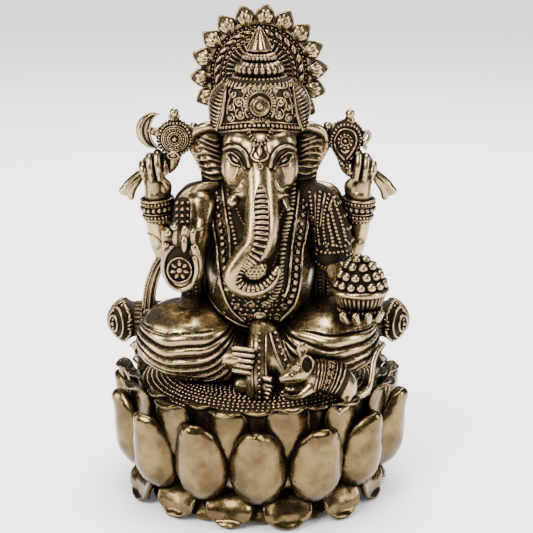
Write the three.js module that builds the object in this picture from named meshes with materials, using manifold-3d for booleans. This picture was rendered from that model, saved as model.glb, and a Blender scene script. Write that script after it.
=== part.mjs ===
// Elephant-headed seated deity on a lotus pedestal: a brass tabletop figure made of separate castings.
// Millimetres, +Z up, the figure faces -Y, origin at the centre of the pedestal's underside.
import * as THREE from 'three';
import { mergeVertices } from 'three/addons/utils/BufferGeometryUtils.js';
import Module from 'manifold-3d';

const wasm = await Module();
wasm.setup();

// Driving dimensions
const HEIGHT = 120; // pedestal underside to the top of the halo
const PETALS = 14; // in each row of the lotus
const PETAL_REACH = 39; // radius at the outer petals' tips
const SEAT_TOP = 28.4;
const SEAT_THICKNESS = 4.4;
const SEAT_RADIUS = 29.6;
const CORE_FOOT_RADIUS = 26.4; // the pedestal core widens from its foot to its shoulder
const CORE_SHOULDER_RADIUS = 28;
const RECESS_RADIUS = 22; // shallow recess in the underside, which leaves a rim to stand on
const RECESS_DEPTH = 2.5;
const FIT_GAP = 0.35; // left between neighbouring castings that are turned to fit each other
const ROOM = 1.4 * FIT_GAP; // cut away round each casting where a later one would reach into it
const HALO_RADIUS = 16.8;
const HALO_DEPTH_AT = 10; // how far behind the pedestal's axis the halo stands
const HALO_THICKNESS = 2.2;
const HALO_BUDS = 18;
const HALO_BUD_CENTRES = 14.2; // radius of the circle that the buds stand on
const CROWN_AXIS = [0.3, -0.8, 0];
const BOWL_AXIS = [24.4, -16.4, 0];
const BOLSTER_CENTRE = [0, 5, 41.4];
const BOLSTER_HALF_LENGTH = 32.2;
const EMBLEM_DEPTH_AT = -1.6; // the Y of both emblems' middles
const NECKLINE = 76; // height at which the stole comes over the shoulders
const ROUND = 20; // sides of a large turned piece
const SMALL_ROUND = 12; // sides of a small turned piece
const CENTRE = [0, 0, 0];
const UNTURNED = [0, 0, 0];

const BRASS = { color: 0xb08d4f, roughness: 0.34, metalness: 1 };
const DARK_BRASS = { color: 0x4a3a22, roughness: 0.55, metalness: 1 };

const figure = new THREE.Group();
const clearances = []; // { room, box } that each piece so far keeps to itself, in the part's frame

// Solids from three.js geometry

function solidFrom(geometry) {
  const bare = geometry.index ? geometry.toNonIndexed() : geometry.clone();
  bare.deleteAttribute('normal');
  bare.deleteAttribute('uv');
  const merged = mergeVertices(bare, 1e-4);
  return new wasm.Manifold(new wasm.Mesh({
    numProp: 3,
    vertProperties: new Float32Array(merged.attributes.position.array),
    triVerts: new Uint32Array(merged.index.array),
  }));
}

function geometryFrom(solid) {
  const mesh = solid.getMesh();
  const geometry = new THREE.BufferGeometry();
  const points = new Float32Array(mesh.numVert * 3);
  for (let i = 0; i < mesh.numVert; i++) {
    points.set(mesh.vertProperties.subarray(i * mesh.numProp, i * mesh.numProp + 3), i * 3);
  }
  geometry.setAttribute('position', new THREE.BufferAttribute(points, 3));
  geometry.setIndex(new THREE.BufferAttribute(new Uint32Array(mesh.triVerts), 1));
  geometry.computeVertexNormals();
  return geometry;
}

// Turns a geometry by degrees about X, Y and Z, then moves it to a place.
function put(geometry, place, turn = UNTURNED) {
  const euler = new THREE.Euler(...turn.map(THREE.MathUtils.degToRad));
  geometry.applyMatrix4(new THREE.Matrix4().makeRotationFromEuler(euler));
  return solidFrom(geometry.translate(...place));
}

function ball(place, radii, turn = UNTURNED, sides = 12, rings = 6) {
  return put(new THREE.SphereGeometry(1, sides, rings).scale(...radii), place, turn);
}

function smallBall(place, radii, turn = UNTURNED) {
  return ball(place, radii, turn, 8, 6);
}

// A turned piece: profile points are [radius, height] from the bottom up, starting and ending on the axis.
function turned(profile, place, turn = UNTURNED, sides = ROUND) {
  const points = profile.map(([r, z]) => new THREE.Vector2(r, z));
  return put(new THREE.LatheGeometry(points, sides).rotateX(Math.PI / 2), place, turn);
}

// A tapered round limb with ball ends.
function limb(from, to, fromRadius, toRadius, sides = 8) {
  const start = new THREE.Vector3(...from);
  const along = new THREE.Vector3(...to).sub(start);
  const length = along.length();
  const profile = [
    [0, -fromRadius], [0.7 * fromRadius, -0.7 * fromRadius], [fromRadius, 0],
    [toRadius, length], [0.7 * toRadius, length + 0.7 * toRadius], [0, length + toRadius],
  ].map(([r, h]) => new THREE.Vector2(r, h));
  const geometry = new THREE.LatheGeometry(profile, sides);
  const upright = new THREE.Vector3(0, 1, 0);
  geometry.applyQuaternion(new THREE.Quaternion().setFromUnitVectors(upright, along.normalize()));
  return solidFrom(geometry.translate(...from));
}

// A round or flat bar swept along a smooth curve, its section scaled from the first scale to the last.
function swept(route, radii, scales = [1, 1], steps = 18, sides = 8) {
  const curve = new THREE.CatmullRomCurve3(route.map((p) => new THREE.Vector3(...p)));
  const section = new THREE.Shape(Array.from({ length: sides }, (_, i) => {
    const angle = (2 * Math.PI * i) / sides;
    return new THREE.Vector2(radii[0] * Math.cos(angle), radii[1] * Math.sin(angle));
  }));
  const geometry = new THREE.ExtrudeGeometry(section, { steps, extrudePath: curve });
  const centres = curve.getSpacedPoints(steps);
  const at = geometry.attributes.position;
  const point = new THREE.Vector3();
  for (let i = 0; i < at.count; i++) {
    point.fromBufferAttribute(at, i);
    const distances = centres.map((c) => c.distanceToSquared(point));
    const nearest = distances.indexOf(Math.min(...distances));
    const scale = THREE.MathUtils.lerp(scales[0], scales[1], nearest / steps);
    point.sub(centres[nearest]).multiplyScalar(scale).add(centres[nearest]);
    at.setXYZ(i, point.x, point.y, point.z);
  }
  return solidFrom(geometry);
}

function joined(solids) {
  return wasm.Manifold.union(solids);
}

// The solid with every vertex moved out along its normal, for cutting a neighbour back by the fitting gap.
function grown(solid, gap) {
  const geometry = geometryFrom(solid);
  const at = geometry.attributes.position;
  const normal = geometry.attributes.normal;
  for (let i = 0; i < at.count; i++) {
    at.setXYZ(
      i,
      at.getX(i) + gap * normal.getX(i),
      at.getY(i) + gap * normal.getY(i),
      at.getZ(i) + gap * normal.getZ(i),
    );
  }
  return solidFrom(geometry);
}

function apart(a, b) {
  return [0, 1, 2].some((k) => a.min[k] > b.max[k] || b.min[k] > a.max[k]);
}

// Fits a piece made of one or more solids: it is cut back to clear the pieces before it, then added to its
// group as a named mesh.
function fit(group, name, shapes, finish = BRASS) {
  const solids = [shapes].flat();
  let solid = joined(solids);
  for (const before of clearances) {
    if (!apart(before.box, solid.boundingBox())) {
      solid = solid.subtract(before.room);
    }
  }
  solid = solid.decompose().reduce((a, b) => (b.volume() > a.volume() ? b : a));
  const room = joined(solids.map((one) => grown(one, ROOM)));
  clearances.push({ room, box: room.boundingBox() });
  const geometry = geometryFrom(solid);
  geometry.computeBoundingBox();
  const centre = geometry.boundingBox.getCenter(new THREE.Vector3());
  geometry.translate(-centre.x, -centre.y, -centre.z);
  const mesh = new THREE.Mesh(geometry, new THREE.MeshStandardMaterial(finish));
  mesh.name = name;
  mesh.position.copy(centre);
  group.add(mesh);
}

// Adds a piece and its mirror image; right is the figure's own right, at -X.
function fitPair(group, name, rightShapes, finish) {
  const right = [rightShapes].flat();
  fit(group, `right_${name}`, right, finish);
  fit(group, `left_${name}`, right.map((solid) => solid.mirror([1, 0, 0])), finish);
}

// Copies of a piece that faces -Y, turned about Z at even steps; the phase is a share of one step.
function around(count, phase, makeOne) {
  return Array.from({ length: count }, (_, i) => makeOne().rotate([0, 0, (360 * (i + phase)) / count]));
}

// Lotus pedestal

// One petal facing -Y: a ball flattened and bent to follow a centreline of [radius, height] points.
function petal(line, halfWidth, halfThickness, sides, rings) {
  const curve = new THREE.SplineCurve(line.map(([r, z]) => new THREE.Vector2(r, z)));
  const geometry = new THREE.SphereGeometry(1, sides, rings);
  const at = geometry.attributes.position;
  for (let i = 0; i < at.count; i++) {
    const share = THREE.MathUtils.clamp((at.getY(i) + 1) / 2, 0, 1);
    const centre = curve.getPoint(share);
    const along = curve.getTangent(share);
    const off = halfThickness * at.getZ(i);
    const radius = centre.x + along.y * off;
    const height = centre.y - along.x * off;
    at.setXYZ(i, halfWidth * at.getX(i), -radius, height);
  }
  return solidFrom(geometry);
}

// The ring that carries a row of petals round the pedestal core, just clear of it.
function collar(foot, shoulder, thickness) {
  const clear = (z) => THREE.MathUtils.mapLinear(
    z, 0, SEAT_TOP, CORE_FOOT_RADIUS, CORE_SHOULDER_RADIUS,
  ) + FIT_GAP + 0.1;
  return turned([
    [clear(foot), foot], [clear(foot) + thickness, foot], [clear(shoulder) + thickness, shoulder],
    [clear(shoulder), shoulder], [clear(foot), foot],
  ], CENTRE, UNTURNED, 2 * PETALS);
}

function petalRow(line, halfWidth, halfThickness, phase, foot, shoulder, thickness) {
  const petals = around(PETALS, phase, () => petal(line, halfWidth, halfThickness, 6, 5));
  return [collar(foot, shoulder, thickness), ...petals];
}

function buildPedestal() {
  const pedestal = new THREE.Group();
  const shoulder = SEAT_TOP - SEAT_THICKNESS;
  fit(pedestal, 'pedestal_core', turned([
    [0, RECESS_DEPTH], [RECESS_RADIUS, RECESS_DEPTH], [RECESS_RADIUS, 0], [CORE_FOOT_RADIUS, 0],
    [CORE_SHOULDER_RADIUS, shoulder], [0, shoulder],
  ], CENTRE, UNTURNED, 2 * PETALS));
  fit(pedestal, 'beaded_seat', turned([
    [0, shoulder + FIT_GAP], [SEAT_RADIUS - 1, shoulder + FIT_GAP], [SEAT_RADIUS, SEAT_TOP - 1],
    [SEAT_RADIUS - 1.2, SEAT_TOP], [0, SEAT_TOP],
  ], CENTRE, UNTURNED, 2 * PETALS), DARK_BRASS);
  fit(pedestal, 'lower_petal_row', petalRow(
    [[26.4, 6.6], [29, 5.8], [30.8, 3.4], [31.6, 1]], 6.6, 1.4, 0.5, 2, 6.4, 1.2,
  ));
  fit(pedestal, 'outer_petal_row', petalRow(
    [[27.4, 8.8], [33.2, 12.8], [35.8, 18.5], [PETAL_REACH, 24.4]], 7.4, 1.7, 0, 7.2, 12.5, 1.2,
  ));
  fit(pedestal, 'middle_petal_row', petalRow(
    [[28, 14.6], [31.2, 20], [33.8, 26], [37.6, 31]], 6, 1, 0.5, 13, 18.5, 1,
  ));
  fit(pedestal, 'inner_petal_row', petalRow(
    [[28.6, 20.2], [30.8, 24], [31.5, 28], [34, 31.2]], 4.6, 0.7, 0, 19, 23.6, 0.9,
  ));
  return pedestal;
}

// Seated body

function buildBody() {
  const body = new THREE.Group();
  fitPair(body, 'folded_leg', [
    ball([-16, -8.5, 39], [14, 12.6, 10.2]),
    ball([-9, -15, 37], [7, 7.4, 7.6]),
    limb([-6, 2, 42], [-20, -6, 40], 7, 9),
  ]);
  fit(body, 'belly', ball([0.5, -3, 57], [14, 14.6, 13.6], UNTURNED, 16, 8));
  fit(body, 'chest_and_shoulders', [
    ball([0.5, 1.5, 70], [16, 9.5, 10.5], UNTURNED, 14, 7),
    ball([0.5, 2, 58], [11, 10, 12]),
  ]);
  fit(body, 'hips', ball([0, 3, 37.5], [17, 11.5, 9]));
  fit(body, 'right_foot', [
    limb([-7.5, -20.5, 39.5], [-3.4, -21.5, 39.6], 2.6, 2.2, 8),
    smallBall([-2.6, -22, 39.6], [1.8, 1.7, 3.6]),
  ]);
  fit(body, 'left_foot', [
    limb([-2.5, -19.5, 32.8], [2.2, -21.5, 33.2], 2.6, 2.2, 8),
    smallBall([3, -22, 33.4], [1.6, 1.6, 2.2]),
  ]);
  fit(body, 'waist_sash', swept(
    [[1.4, -18.4, 46.6], [1.2, -22.4, 43], [1, -23.2, 37], [0.9, -22.6, 31]], [3, 0.9], [1, 0.8], 8, 6,
  ));
  fit(body, 'stole', buildStole());
  return body;
}

// The beaded stole hangs from both shoulders and meets under the trunk. It is a shell over the body, kept where
// it lies inside a U outline.
function buildStole() {
  const outline = (top, side, foot, lift) => [
    [-side - lift, top], [-side, 66], [-side + 2.6, 54], [-5.6, foot], [0.4, foot - 1.6],
    [6.4, foot], [side - 1.8, 54], [side + 0.8, 66], [side + 0.8 + lift, top],
  ].map(([x, z]) => new THREE.Vector2(x, z));
  const outer = outline(NECKLINE, 12.2, 46.2, 0.4);
  const inner = outline(NECKLINE, 8.4, 51.6, 0.2);
  const shape = new THREE.Shape([...outer, ...inner.reverse()]);
  const curtain = new THREE.ExtrudeGeometry(shape, { depth: 30, bevelEnabled: false })
    .rotateX(Math.PI / 2);
  const shell = joined([
    ball([0.5, -3, 57], [15.6, 16.2, 15.2], UNTURNED, 16, 8),
    ball([0.5, 1.5, 70], [17.4, 11.2, 12], UNTURNED, 14, 7),
  ]);
  return solidFrom(curtain).intersect(shell);
}

// Arms: the rear pair is raised with emblems, the front right blesses, the front left holds the bowl

function buildArms() {
  const arms = new THREE.Group();
  fitPair(arms, 'rear_forearm', limb([-24.4, 1.5, 59.5], [-24.8, 0.5, 70], 3.4, 3));
  fitPair(arms, 'rear_bracelet', turned([
    [2.4, -2.6], [3.7, -2.6], [3.9, 0], [3.7, 2.6], [2.4, 2.6], [2.4, -2.6],
  ], [-24.8, 0.4, 73], UNTURNED, SMALL_ROUND));
  fitPair(arms, 'rear_upper_arm', limb([-16, 4, 73], [-22.5, 5.4, 59], 4.2, 3.4));
  fitPair(arms, 'rear_hand', [
    limb([-24.8, 0.4, 72], [-24.6, 0.2, 79.5], 2, 2.7, 8),
    smallBall([-25, -1, 82], [3.2, 2.8, 3.4]),
  ]);
  fit(arms, 'front_right_upper_arm', limb([-14.8, -5, 73.5], [-17.4, -8, 62], 4.2, 3.6));
  fit(arms, 'front_right_palm', [
    ball([-18.4, -19.4, 62.5], [4.8, 1.8, 6.8], [-4, 0, 0], 12, 8),
    limb([-21.4, -19, 65], [-21.8, -19.4, 69.4], 1.1, 0.9, 6),
    limb([-19.6, -19.2, 66], [-19.8, -19.6, 71.6], 1.1, 0.9, 6),
    limb([-17.6, -19.2, 66], [-17.6, -19.6, 72], 1.1, 0.9, 6),
    limb([-14.6, -18.6, 64], [-13.6, -18.6, 69.6], 1.3, 1.2, 6),
  ]);
  fit(arms, 'front_right_forearm', limb([-17.8, -9, 59], [-18.3, -16, 58], 3.8, 3));
  fit(arms, 'front_left_upper_arm', limb([15.8, -5, 73], [20.4, -5, 60], 4.6, 4));
  fit(arms, 'sweets_bowl', turned([
    [0, 49.6], [3, 49.8], [5.6, 52.2], [6.9, 55.8], [6.7, 56.6], [0, 56.6],
  ], BOWL_AXIS, UNTURNED, 16));
  fit(arms, 'heap_of_sweets', turned([
    [0, 57], [5.9, 57], [5.6, 59], [4.1, 61.8], [1.6, 63.8], [0, 64.2],
  ], BOWL_AXIS, UNTURNED, SMALL_ROUND));
  fit(arms, 'front_left_hand', [
    smallBall([24.2, -16, 49], [4.6, 4.6, 1.7]),
    smallBall([24.4, -19.8, 50.2], [3.6, 1.2, 2.2]),
  ]);
  fit(arms, 'front_left_forearm', limb([21.4, -4.5, 56.5], [23.8, -10, 51.4], 3.8, 2.8));
  fitPair(arms, 'scarf_end', swept(
    [[-23, 4, 63], [-27.2, 3.4, 58], [-28.6, 3, 51], [-28.2, 2.6, 46]], [1.7, 0.8], [1, 0.9], 8, 6,
  ));
  return arms;
}

function buildEmblems() {
  const emblems = new THREE.Group();
  const knob = (x, z) => smallBall([x, EMBLEM_DEPTH_AT, z], [1.3, 1.3, 1.3]);
  const disc = (x, z) => turned([
    [0, -1.5], [3.6, -1.3], [4.5, 0], [3.6, 1.3], [0, 1.5],
  ], [x, EMBLEM_DEPTH_AT, z], [90, 0, 0], 16);
  const blade = new THREE.Shape();
  blade.moveTo(-1.6, 0.8);
  blade.quadraticCurveTo(-4.6, 1.6, -4.4, 4.4);
  blade.quadraticCurveTo(-8.8, 1.6, -8.2, -1);
  blade.quadraticCurveTo(-7.4, -4.2, -4.6, -4.4);
  blade.quadraticCurveTo(-4.6, -1.8, -1.6, -0.8);
  const plate = { depth: 1.4, bevelEnabled: false, curveSegments: 4 };
  const bladeGeometry = new THREE.ExtrudeGeometry(blade, plate);
  const bladeSolid = put(bladeGeometry, [-20, -0.9, 91.6], [90, 0, 0]);
  fit(emblems, 'axe_head', [disc(-20, 90.2), knob(-20, 95.6), knob(-15.5, 93), bladeSolid]);
  fit(emblems, 'axe_handle', [
    limb([-20.4, -1.6, 86.6], [-21.6, -1.8, 83], 1.6, 1.3, 8),
    limb([-28.4, -1.4, 80.4], [-32.2, -0.6, 76.4], 1.4, 2, 8),
    limb([-22, -4, 82], [-28.4, -1.4, 80], 0.8, 1.2, 6),
  ]);
  fit(emblems, 'noose_head', [
    disc(21.4, 89), knob(22.3, 95.4), knob(17, 93.2), knob(26.4, 91),
    limb([21.4, -1.6, 87], [21.6, -1.8, 83], 3, 1.6, 8),
  ]);
  fit(emblems, 'noose_tail', [
    limb([28.2, -1.4, 81], [32, -0.6, 76], 1.4, 2, 8),
    limb([22.6, -4, 82], [28.2, -1.4, 80.6], 0.8, 1.2, 6),
  ]);
  return emblems;
}

// Head, crown and halo

const TRUNK_ROUTE = [
  [0.5, -10, 88], [0.8, -13.6, 82.4], [1, -16.4, 77.4], [1, -18.2, 73], [0, -19.6, 68], [-3.4, -20.3, 63.5],
  [-6, -20.5, 59.6], [-5.2, -20.6, 57.4], [-1.8, -20.6, 56.2], [1.8, -20.4, 57.2], [4, -20.3, 59.5],
];

function buildHead() {
  const head = new THREE.Group();
  fit(head, 'trunk', swept(TRUNK_ROUTE, [4, 3.6], [1, 0.38], 20, 8));
  fit(head, 'trunk_sweet', smallBall([-0.9, -20.6, 61.4], [3, 2.4, 3]));
  fit(head, 'head', [
    ball([0.5, -2.5, 86.5], [9.4, 9.4, 9.2]),
    smallBall([-4.6, -5.6, 83], [4.6, 5, 5]),
    smallBall([5.6, -5.6, 83], [4.6, 5, 5]),
  ]);
  fit(head, 'right_tusk', limb([-4.6, -12, 78.6], [-6.4, -14.4, 76.6], 1.6, 1.4, 8));
  fit(head, 'left_tusk', limb([6, -12, 78.6], [8, -14.6, 75.8], 1.6, 0.9, 8));
  fitPair(head, 'ear', [
    smallBall([-13, -0.4, 87], [4.8, 1.5, 5.4], [0, 0, -8]),
    smallBall([-11.4, -0.6, 81.6], [3.6, 1.3, 5], [0, 0, -8]),
  ]);
  return head;
}

function buildCrown() {
  const crown = new THREE.Group();
  fit(crown, 'crown_drum', turned([
    [0, 90.5], [9.7, 90.5], [10.2, 92], [9.4, 97], [8.4, 103], [7.4, 104.4], [0, 104.4],
  ], CROWN_AXIS, UNTURNED, ROUND));
  fit(crown, 'crown_ribbed_ring', turned([
    [0, 104.8], [5.2, 104.8], [6, 106], [5.6, 107.6], [4.2, 108.4], [0, 108.4],
  ], CROWN_AXIS, UNTURNED, ROUND));
  fit(crown, 'crown_collar', turned([
    [0, 108.8], [3.8, 108.8], [4.3, 109.6], [3.8, 110.4], [0, 110.4],
  ], CROWN_AXIS, UNTURNED, 16));
  fit(crown, 'crown_spire', turned([
    [0, 110.8], [3, 110.8], [3.1, 111.4], [1.5, 114], [0.4, 116], [0, 116.2],
  ], CROWN_AXIS, UNTURNED, SMALL_ROUND));
  fitPair(crown, 'crown_side_leaf', swept(
    [[-9.6, -1.6, 91.4], [-12, -0.4, 95.4], [-11.4, 0.6, 100], [-9.4, 1.4, 104]],
    [1.1, 2.6], [0.7, 0.9], 6, 6,
  ));
  return crown;
}

function buildHalo() {
  const halo = new THREE.Group();
  const centre = [0, HALO_DEPTH_AT, HEIGHT - HALO_RADIUS];
  const half = HALO_THICKNESS / 2;
  fit(halo, 'halo_disc', turned([
    [0, -half], [11.6, -half], [12, 0], [11.6, half], [0, half],
  ], centre, [90, 0, 0], ROUND));
  const bud = () => turned([
    [0, -1.5], [1.5, -1.1], [2.3, 0.6], [1.8, 2.1], [0, HALO_RADIUS - HALO_BUD_CENTRES],
  ], [0, 0, HALO_BUD_CENTRES], UNTURNED, 5);
  const rim = turned([
    [12.5, -half], [14, -half], [14, half], [12.5, half], [12.5, -half],
  ], CENTRE, [90, 0, 0], ROUND);
  const buds = Array.from({ length: HALO_BUDS }, (_, i) => bud().rotate([0, (360 * i) / HALO_BUDS, 0]));
  fit(halo, 'halo_bud_ring', [rim, ...buds].map((solid) => solid.translate(centre)));
  return halo;
}

// Bolster behind the figure and the mouse at its feet

function buildBolster() {
  const bolster = new THREE.Group();
  const end = turned([
    [0, 0], [4.4, 0], [4.5, 1.4], [3.4, 3], [1.4, 4.2], [0, 4.6],
  ], [-BOLSTER_HALF_LENGTH - FIT_GAP, BOLSTER_CENTRE[1], BOLSTER_CENTRE[2]], [0, -90, 0], SMALL_ROUND);
  fitPair(bolster, 'bolster_end', end);
  fit(bolster, 'bolster', turned([
    [0, -BOLSTER_HALF_LENGTH], [4.6, -BOLSTER_HALF_LENGTH], [4.8, 1.2 - BOLSTER_HALF_LENGTH],
    [4.8, BOLSTER_HALF_LENGTH - 1.2], [4.6, BOLSTER_HALF_LENGTH], [0, BOLSTER_HALF_LENGTH],
  ], BOLSTER_CENTRE, [0, 90, 0], 14));
  return bolster;
}

function buildMouse() {
  const mouse = new THREE.Group();
  fit(mouse, 'mouse_head', [
    limb([10.8, -26.4, 38.2], [6, -28, 36.6], 2.8, 0.8, 8),
    smallBall([12.4, -26.6, 40.2], [1.7, 0.8, 2]),
    smallBall([11, -24.6, 41.4], [1.4, 0.8, 2.4]),
  ]);
  fit(mouse, 'mouse_body', [
    ball([18, -24.6, 35.2], [6.6, 4.2, 4.6], [0, 12, 0], 12, 8),
    smallBall([21, -24.2, 31.6], [3.6, 3.8, 2.8]),
    limb([13, -25.6, 33], [8.4, -27, 31], 1.3, 1, 6),
  ]);
  fit(mouse, 'mouse_tail', swept(
    [[24.4, -21.6, 30.4], [26.4, -19.4, 34], [27, -17.4, 38.4], [28.4, -15.4, 43]],
    [0.7, 0.7], [1, 0.7], 10, 6,
  ));
  return mouse;
}

figure.add(
  buildPedestal(), buildMouse(), buildBolster(), buildBody(), buildHead(), buildArms(), buildEmblems(),
  buildCrown(), buildHalo(),
);

export default figure;
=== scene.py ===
# Antique brass elephant-headed deity on a lotus pedestal: detailed castings in place of the plain CAD solids.
import math

import bmesh
import bpy
import numpy as np
from mathutils import Euler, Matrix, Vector
from mathutils.bvhtree import BVHTree


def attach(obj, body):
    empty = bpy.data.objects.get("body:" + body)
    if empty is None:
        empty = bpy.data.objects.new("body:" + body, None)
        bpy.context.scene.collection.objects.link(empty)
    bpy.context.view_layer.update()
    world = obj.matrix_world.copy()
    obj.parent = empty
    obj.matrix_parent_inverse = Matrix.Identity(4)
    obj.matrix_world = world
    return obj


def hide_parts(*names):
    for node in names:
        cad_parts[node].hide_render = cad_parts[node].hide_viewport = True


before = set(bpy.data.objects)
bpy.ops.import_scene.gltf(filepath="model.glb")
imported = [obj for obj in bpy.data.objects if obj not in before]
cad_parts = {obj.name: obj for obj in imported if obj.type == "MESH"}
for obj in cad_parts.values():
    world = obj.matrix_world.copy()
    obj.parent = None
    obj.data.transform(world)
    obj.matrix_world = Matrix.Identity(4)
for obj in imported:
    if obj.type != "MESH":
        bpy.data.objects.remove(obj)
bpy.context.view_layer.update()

MM = 0.001  # the sculpting below is in millimetres, in the CAD frame: +Z up, the figure faces -Y
PETALS = 14
FRONT = np.array([0.0, -1.0, 0.0])
UP = np.array([0.0, 0.0, 1.0])
chance = np.random.default_rng(11)


# Camera, at the height and angle from which such a figure is looked at

def add_camera(target=(2.1, 0, 56.7), distance=370, elevation=16):
    data = bpy.data.cameras.new("camera")
    data.lens = 100
    data.sensor_width = 36
    data.dof.use_dof = False
    camera = bpy.data.objects.new("camera", data)
    tilt = math.radians(elevation)
    place = Vector(target) + distance * Vector((0, -math.cos(tilt), math.sin(tilt)))
    camera.location = place * MM
    camera.rotation_euler = (math.pi / 2 - tilt, 0, 0)
    bpy.context.scene.collection.objects.link(camera)
    bpy.context.scene.camera = camera


# Curves and frames

def unit(vectors):
    return vectors / np.maximum(np.linalg.norm(vectors, axis=-1, keepdims=True), 1e-9)


def smooth(route, count, closed=False):
    """Points on a Catmull-Rom curve through the route's rows, whatever their columns mean."""
    route = np.asarray(route, float)
    if closed:
        padded = np.vstack([route[-1], route, route[:2]])
        spans = len(route)
    else:
        padded = np.vstack([2 * route[0] - route[1], route, 2 * route[-1] - route[-2]])
        spans = len(route) - 1
    at = np.linspace(0, spans, count, endpoint=not closed)
    span = np.minimum(at.astype(int), spans - 1)
    f = (at - span)[:, None]
    a, b, c, d = (padded[span + k] for k in range(4))
    return 0.5 * (2 * b + (c - a) * f + (2 * a - 5 * b + 4 * c - d) * f**2 + (3 * b - a - 3 * c + d) * f**3)


def evenly(points, pitch):
    """The points respaced along their polyline, a pitch apart."""
    steps = np.linalg.norm(np.diff(points, axis=0), axis=1)
    length = np.concatenate([[0], np.cumsum(steps)])
    count = max(int(round(length[-1] / pitch)), 1) + 1
    at = np.linspace(0, length[-1], count)
    return np.stack([np.interp(at, length, points[:, k]) for k in range(points.shape[1])], axis=1)


def tangents(points):
    return unit(np.gradient(points, axis=0))


def turned_about(vectors, axes, degrees):
    """Vectors turned about axes, all by one angle or each by its own."""
    angle = np.radians(degrees)[..., None] if np.ndim(degrees) else np.radians(degrees)
    axes = unit(axes)
    across = np.cross(axes, vectors)
    along = axes * np.sum(axes * vectors, axis=-1, keepdims=True)
    return vectors * np.cos(angle) + across * np.sin(angle) + along * (1 - np.cos(angle))


# Meshes

class Casting:
    """Meshes gathered into one piece."""

    def __init__(self):
        self.points = []
        self.patina = []
        self.faces = {3: [], 4: []}
        self.total = 0

    def add(self, points, faces, patina=0.0):
        """Adds a mesh; its patina runs from 0, rubbed as the light falls on it, to 1, left black."""
        self.points.append(np.asarray(points, float))
        self.patina.append(np.broadcast_to(patina, len(points)))
        self.faces[faces.shape[1]].append(faces + self.total)
        self.total += len(points)

    def make(self, name, *nodes, slot="polished_brass", gloss=None):
        """Makes the Blender object, which stands for the CAD nodes named."""
        quads = np.vstack(self.faces[4] or [np.zeros((0, 4), int)])
        triangles = np.vstack(self.faces[3] or [np.zeros((0, 3), int)])
        mesh = bpy.data.meshes.new(name)
        mesh.vertices.add(self.total)
        mesh.vertices.foreach_set("co", (np.vstack(self.points) * MM).astype(np.float32).ravel())
        mesh.loops.add(quads.size + triangles.size)
        corners = np.concatenate([quads.ravel(), triangles.ravel()])
        mesh.loops.foreach_set("vertex_index", corners.astype(np.int32))
        starts = np.concatenate([np.arange(len(quads)) * 4, quads.size + np.arange(len(triangles)) * 3])
        mesh.polygons.add(len(starts))
        mesh.polygons.foreach_set("loop_start", starts.astype(np.int32))
        mesh.update(calc_edges=True)
        shade = mesh.attributes.new("patina", "FLOAT", "POINT")
        shade.data.foreach_set("value", np.concatenate(self.patina).astype(np.float32))
        mesh.validate()
        mesh.shade_smooth()
        mesh.materials.append(gloss or BRASS)
        piece = bpy.data.objects.new(name, mesh)
        bpy.context.scene.collection.objects.link(piece)
        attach(piece, "root")
        if nodes:
            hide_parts(*nodes)
        return piece


def ico_ball(subdivisions):
    ball = bmesh.new()
    bmesh.ops.create_icosphere(ball, subdivisions=subdivisions, radius=1)
    points = np.array([v.co for v in ball.verts])
    faces = np.array([[v.index for v in f.verts] for f in ball.faces])
    ball.free()
    return points, faces


def lathed(profile, sides, flutes=0, depth=0.0):
    """A shape turned about Z from [radius, height] rows; flutes press in that many grooves of a depth."""
    profile = np.asarray(profile, float)
    angle = np.linspace(0, 2 * np.pi, sides, endpoint=False)
    ribbing = 1 - depth * (1 - np.abs(np.sin(flutes * angle / 2))) if flutes else np.ones(sides)
    radius = profile[:, :1] * ribbing
    points = np.stack([
        radius * np.sin(angle), -radius * np.cos(angle), np.broadcast_to(profile[:, 1:], radius.shape),
    ], axis=-1).reshape(-1, 3)
    return points, grid_faces(len(profile), sides, wrap=True)


def grid_faces(rows, columns, wrap=False):
    row, column = np.meshgrid(np.arange(rows - 1), np.arange(columns if wrap else columns - 1), indexing="ij")
    after = (column + 1) % columns
    corner = row * columns + column
    beside = row * columns + after
    return np.stack([corner, beside, beside + columns, corner + columns], axis=-1).reshape(-1, 4)


def stamp(casting, shape, places, normals, along, size, patina=0.0):
    """Copies a small shape onto places: X across, Y along and Z up the normal, at a size each way."""
    points, faces = shape
    places = np.atleast_2d(places)
    count = len(places)
    normals = unit(np.broadcast_to(normals, (count, 3)).astype(float))
    along = np.broadcast_to(along, (count, 3)).astype(float)
    along = unit(along - normals * np.sum(along * normals, axis=1, keepdims=True))
    across = np.cross(along, normals)
    local = points[None] * np.broadcast_to(size, (count, 3))[:, None]
    world = places[:, None] + local[..., :1] * across[:, None] + local[..., 1:2] * along[:, None]
    world = world + local[..., 2:] * normals[:, None]
    shifts = (np.arange(count) * len(points))[:, None, None]
    casting.add(world.reshape(-1, 3), (faces[None] + shifts).reshape(-1, faces.shape[1]), patina)


def beads(casting, places, normals, radius, lift=0.35):
    """Round beads sunk into a surface, standing proud of it by the lift, in radii, at their centres."""
    radius = np.broadcast_to(np.atleast_1d(radius)[:, None] if np.ndim(radius) else radius, (len(places), 1))
    normals = unit(np.broadcast_to(normals, places.shape).astype(float))
    sideways = np.where(np.abs(normals[:, 2:]) > 0.8, [1.0, 0, 0], [0, 0, 1.0])
    stamp(casting, BEAD, places + normals * radius * lift, normals, sideways, radius * np.ones(3))


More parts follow.
